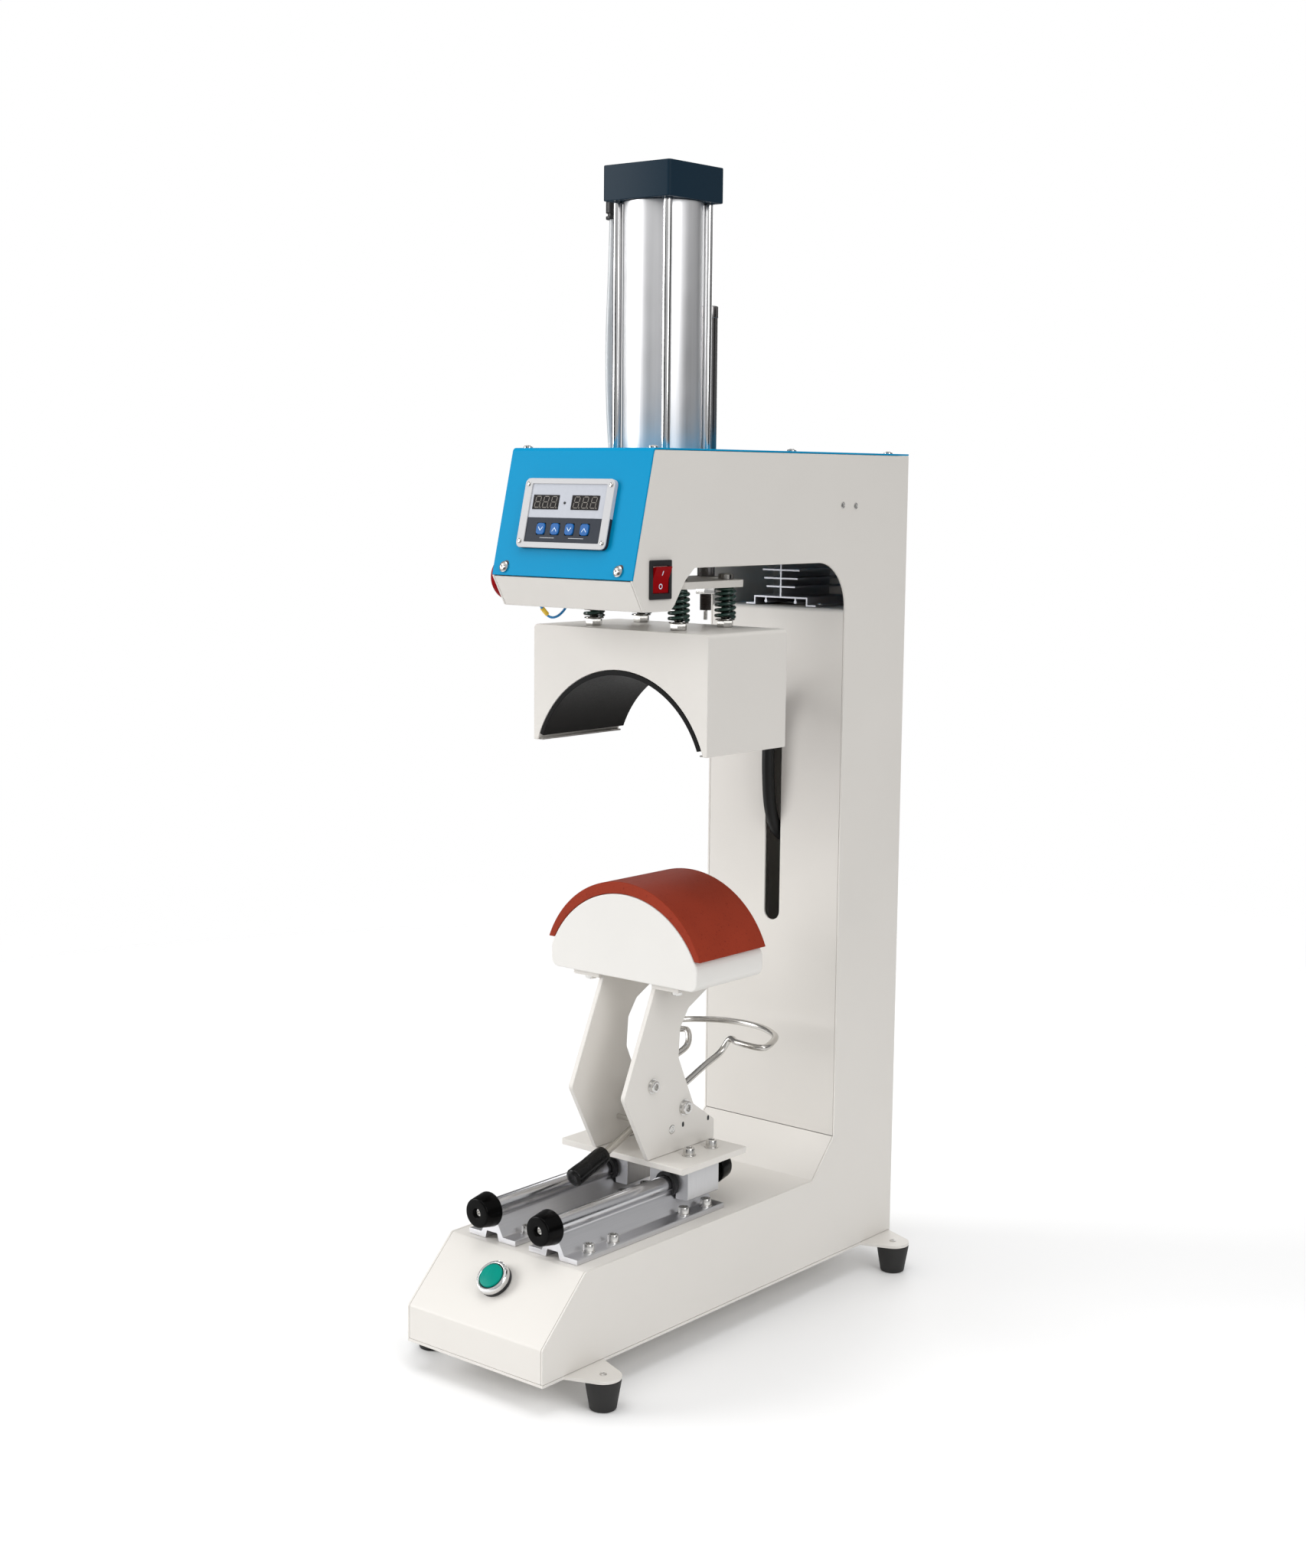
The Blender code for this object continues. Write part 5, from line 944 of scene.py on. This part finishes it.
# Lever
# A plated bar welded to a boss on the cross shaft, bent a little at the grip. The moulded rubber grip is
# drawn over its end.
lever_steel = bright_metal("polished_bar", (0.60, 0.58, 0.55), 0.24, depth=0.000004)
grip_skin = mottled("grip_rubber", (0.001, 0.001, 0.001), (0.004, 0.004, 0.004), 200, 2, 0.20, 0.12,
                    Specular_IOR_Level=0.25)
pivot = spot(0, 0.242, 0.1772)
lever_route = flowing(spot(0, (0.24384, 0.20944, 0.17504, 0.15215, 0.12926),
                           (0.17255, 0.15893, 0.14531, 0.13809, 0.13088)))
lever_shaft = rod(0.0060, -0.0282, 0.0282, pivot, (1, 0, 0), 40, (0.0004, 0.0004))
lever_boss = rod(0.0100, -0.0090, 0.0090, pivot, (1, 0, 0), 48, (0.0010, 0.0010), 4)
piece("lever_bar", [lever_shaft, lever_boss, bar_along(lever_route, 0.0035, (1, 0, 0), 28)], lever_steel,
      "lever_arm", "zinc_steel", "lever")
grip_corners = [(0.0036, 0, 0), (0.0078, 0, 0.0010), (0.0083, 0.0050, 0.004), (0.0080, 0.0240, 0.02),
                (0.0086, 0.0380, 0.006), (0.0086, 0.0430, 0.0020), (0.0050, 0.0440, 0.0010), (0, 0.0434, 0)]
piece("rubber_grip", [turned(grip_corners, spot(0, 0.16836, 0.14321), (0, -0.95372, -0.30071), 56, 6)],
      grip_skin, "lever_arm", "grip_rubber", "lever_grip")

# Wire holder
# One 6 mm polished bar, bent into two legs and a hoop that holds the edge of the workpiece. Black set
# collars clamp its legs on the lever's shaft.
leg_across, hoop_radius, hoop_gap = 0.020, 0.070, 22
leg_way = np.array([0, 0.93544, 0.35347])
leg_up = np.array([0, -0.35347, 0.93544])
leg_root = pivot + leg_up * 0.0093 + (leg_across, 0, 0)
leg = leg_root + np.outer((-0.007, 0, 0.026, 0.052, 0.078), leg_way)
leg[-1, 2] -= 0.001
hoop_centre = pivot + (0, 0.066, 0.0478)
hook_shares = np.array([(0.37, 0.157, 0), (0.54, 0.086, 0), (0.74, 0.057, 0), (0.914, 0.057, 0),
                        (0.985, 0.16, 0)])
half_wire = np.vstack([leg, hoop_centre + hoop_radius * hook_shares])
hoop = arc(hoop_radius, hoop_centre[:2], hoop_gap, 180 - hoop_gap, 10)[1:-1]
hoop = np.column_stack([hoop, np.full(len(hoop), hoop_centre[2])])
wire_route = flowing(np.vstack([half_wire, hoop, half_wire[::-1] * (-1, 1, 1)]))
piece("hoop_wire", [bar_along(wire_route, 0.0030, (0, 0, 1))], lever_steel, "lever_arm", "zinc_steel",
      "wire_holder")
piece("wire_collars", [rod(0.0098, -0.0045, 0.0045, pivot + (across, 0, 0), (1, 0, 0), 40, (0.0008, 0.0008))
                       for across in (-leg_across, leg_across)], black_moulding, "lever_arm", "black_plastic")

# Press head
# The chromed piston rod is locked into a cream plate by a hexagon. The plated guide rod stands behind it,
# with a dark stud, a nut and a pin under the plate.
plate_face, piston_low, piston_high = 0.6595, 0.9550, 0.9800
piston_corners = [(0, plate_face, 0), (0.0100, plate_face, 0.0004), (0.0100, piston_low, 0),
                  (0.0311, piston_low, 0.0005), (0.0311, piston_high, 0.0005), (0, piston_high, 0)]
piston_place = spot(0, cylinder_back, 0)
coupling = rod(0.0173, plate_face, 0.6715, piston_place, steps=6, ends=(0.0010, 0.0012), easing=4)
piece("chromed_rod", [turned(piston_corners, piston_place, steps=64), coupling], chrome, "head", "chrome_rod",
      "piston_rod")
dark_steel = mottled("blackened_steel", (0.022, 0.017, 0.015), (0.040, 0.032, 0.029), 300, 2, 0.30, 0.12,
                     Specular_IOR_Level=0.3)
guide_steel = bright_metal("blued_guide_steel", (0.26, 0.25, 0.25), 0.24, (1, 1, 0.02), 0.000004, 600)
guide_place = spot(0, 0.3065, 0)
guide_corners = [(0, plate_face, 0), (0.0080, plate_face, 0.0004), (0.0080, 0.8920, 0.0002),
                 (0.0084, 0.8920, 0.0002), (0.0084, 0.9024, 0.0010), (0, 0.9024, 0)]
piece("guide_bar", [turned(guide_corners, guide_place)], guide_steel, "head", "chrome_rod", "guide_rod")


def threaded(low, high, radius, pitch=0.00125, groove=0.0005):
    """Thread as a stack of rings: the radius falls by the groove's depth at every other half pitch."""
    heights = np.arange(low, high, pitch / 2)
    radii = radius - groove * (np.arange(len(heights)) % 2)
    return np.vstack([[(0, low)], np.stack([radii, heights], 1), [(0, heights[-1])]])


piece("guide_stud", [lathe(threaded(0.6283, 0.6600, 0.0055), guide_place, steps=32)], dark_steel, "head",
      "zinc_steel")
piece("guide_nut", [rod(0.0098, 0.6432, 0.6524, guide_place, steps=6, ends=(0.0010, 0.0010)),
                    rod(0.0018, 0.6193, 0.6290, guide_place, steps=20, ends=(0.0004, 0))], zinc, "head",
      "zinc_steel")
softened("press_plate", "pressure_plate", cream, "head", "cream_paint", 0.0006, 30)

# Heater cover
# A cream sheet-steel box, open below, with an arch cut in each end that the heater closes, and lips along
# its lower sides. Four studs with nuts and washers pass through its top and hang it from the press plate.
cover_half, cover_low, cover_top, cover_front, cover_rear = 0.101, 0.5107, 0.6163, 0.1835, 0.2965
heater_centre = (0, 0.4788)
# The studs, nuts, washers and bolt heads take a darker copy of the zinc plating: painted shade for the dim
# space under the press plate.
shaded_nut_plating = bright_metal("nut_plating_painted_shade", (0.36, 0.35, 0.33), 0.17)
cover_corners = [(-cover_half, cover_low, 0.0008), (-cover_half, cover_top, 0.004),
                 (cover_half, cover_top, 0.004), (cover_half, cover_low, 0.0008)]
cover_section = np.vstack([eased(cover_corners, 8, False), arc(0.1012, heater_centre, 18.4, 161.6, 97)])
cover_lips = [set_slab(block_outline(low, high, 0.1850, 0.2950, 0.0002, 2), "Z", cover_low, 0.5122)
              for low, high in ((-0.0960, -0.0915), (0.0915, 0.0960))]
piece("cover_sheet", [set_slab(cover_section, "Y", cover_front, cover_rear)] + cover_lips, cream,
      "heated_platen", "cream_paint", "heater_cover", bevel=0.0008, crisp=45)
nut_top, washer_top = 0.6228, 0.6238
stud_places = [(row, side, across, back) for row, back in (("front", 0.207), ("rear", 0.273))
               for side, across in (("left", -0.049), ("right", 0.049))]
stud_parts = []
for _, _, across, back in stud_places:
    place = spot(across, back, 0)
    stud_parts += [lathe(threaded(0.6133, 0.6600, 0.0040), place, steps=28),
                   rod(0.0076, cover_top, nut_top, place, steps=6, ends=(0.0006, 0.0009)),
                   rod(0.0088, nut_top, washer_top, place, steps=40, ends=(0.0002, 0.0004), easing=2),
                   screw_head(spot(across, back, plate_face), (0, 0, 1), 0.0070, 0.0050, "hex", 40)]
piece("cover_studs", stud_parts, shaded_nut_plating, "heated_platen", "zinc_steel")

# Heater
# A curved cast heater plate in the cover's arch, coated black, that closes onto the pad.
coating = mottled("black_coating", (0.004, 0.004, 0.004), (0.009, 0.009, 0.009), 500, 3, 0.38, 0.2,
                  (500, 3, 0.00004), Specular_IOR_Level=0.08)
heater_section = np.vstack([arc(0.1008, heater_centre, 22, 158, 97), arc(0.0965, heater_centre, 158, 22, 97)])
piece("curved_heater", [set_slab(heater_section, "Y", cover_front, cover_rear)], coating, "heated_platen",
      "black_coating", "heater_element", bevel=0.0004, crisp=45)

# Springs
# Four compression springs in dark green enamel on the studs. They take up the float of the heated platen:
# their feet stay on its washers and their tops on the plate.
spring_green = mottled("spring_enamel", (0.004, 0.026, 0.019), (0.007, 0.040, 0.029), 120, 2, 0.12, 0.10,
                       Coat_Weight=0.3)
coil_turns, coil_radius, coil_wire, coil_foot, coil_rise = 6, 0.0082, 0.0016, 0.6256, 0.0252
coil_share = np.linspace(0, 1, 289)
coil_angle = coil_share * math.tau * coil_turns
coil_side = np.stack([np.cos(coil_angle), np.sin(coil_angle), 0 * coil_share], 1)
coil_up = coil_foot + coil_rise * np.clip((coil_share - 0.06) / 0.88, 0, 1)
for row, side, across, back in stud_places:
    coil_route = coil_side * coil_radius + spot(across, back, coil_up)
    piece(f"coil_{row}_{side}", [bar_along(coil_route, coil_wire, coil_side, 16)], spring_green,
          ("heated_platen", "head", tuple(spot(across, back, 0.6250)), tuple(spot(across, back, 0.6515))),
          "spring_enamel", f"spring_{row}_{side}")

# Heater cable
# A 12 mm rubber cable from a gland in the cover's back, through the post's slot and down in a loop that
# pays out as the head goes down.
cable_skin = mottled("cable_rubber", (0.003, 0.003, 0.003), (0.008, 0.008, 0.008), 60, 3, 0.40, 0.15,
                     (600, 2, 0.00003), Specular_IOR_Level=0.25)
cable_up = 0.575
cable_backs = (0.2968, 0.3088, 0.330, 0.370, 0.398, 0.406, 0.407, 0.411, 0.422, 0.440, 0.458, 0.466, 0.466,
               0.464, 0.464, 0.464)
cable_ups = (cable_up, cable_up, 0.578, 0.570, 0.545, 0.510, 0.470, 0.435, 0.412, 0.402, 0.410, 0.440, 0.500,
             0.560, 0.6137, 0.6257)
cable_route = flowing(spot(0, cable_backs, cable_ups))
cable_reach = ("head", "frame", tuple(spot(0, 0.300, cable_up)), tuple(spot(0, 0.455, 0.410)))
heater_lead = piece("heater_lead", [bar_along(cable_route, 0.0060, (1, 0, 0))], cable_skin, cable_reach,
                    "cable_rubber", "heater_cable")
gland_corners = [(0, 0, 0), (0.0100, 0, 0.0004), (0.0100, 0.0050, 0.0010), (0.0082, 0.0055, 0.0004),
                 (0.0078, 0.0130, 0.0020), (0, 0.0135, 0)]
piece("cable_gland", [turned(gland_corners, spot(0, 0.2967, cable_up), (0, 1, 0), 40, 4)], black_moulding,
      "head", "black_plastic")

low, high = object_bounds()
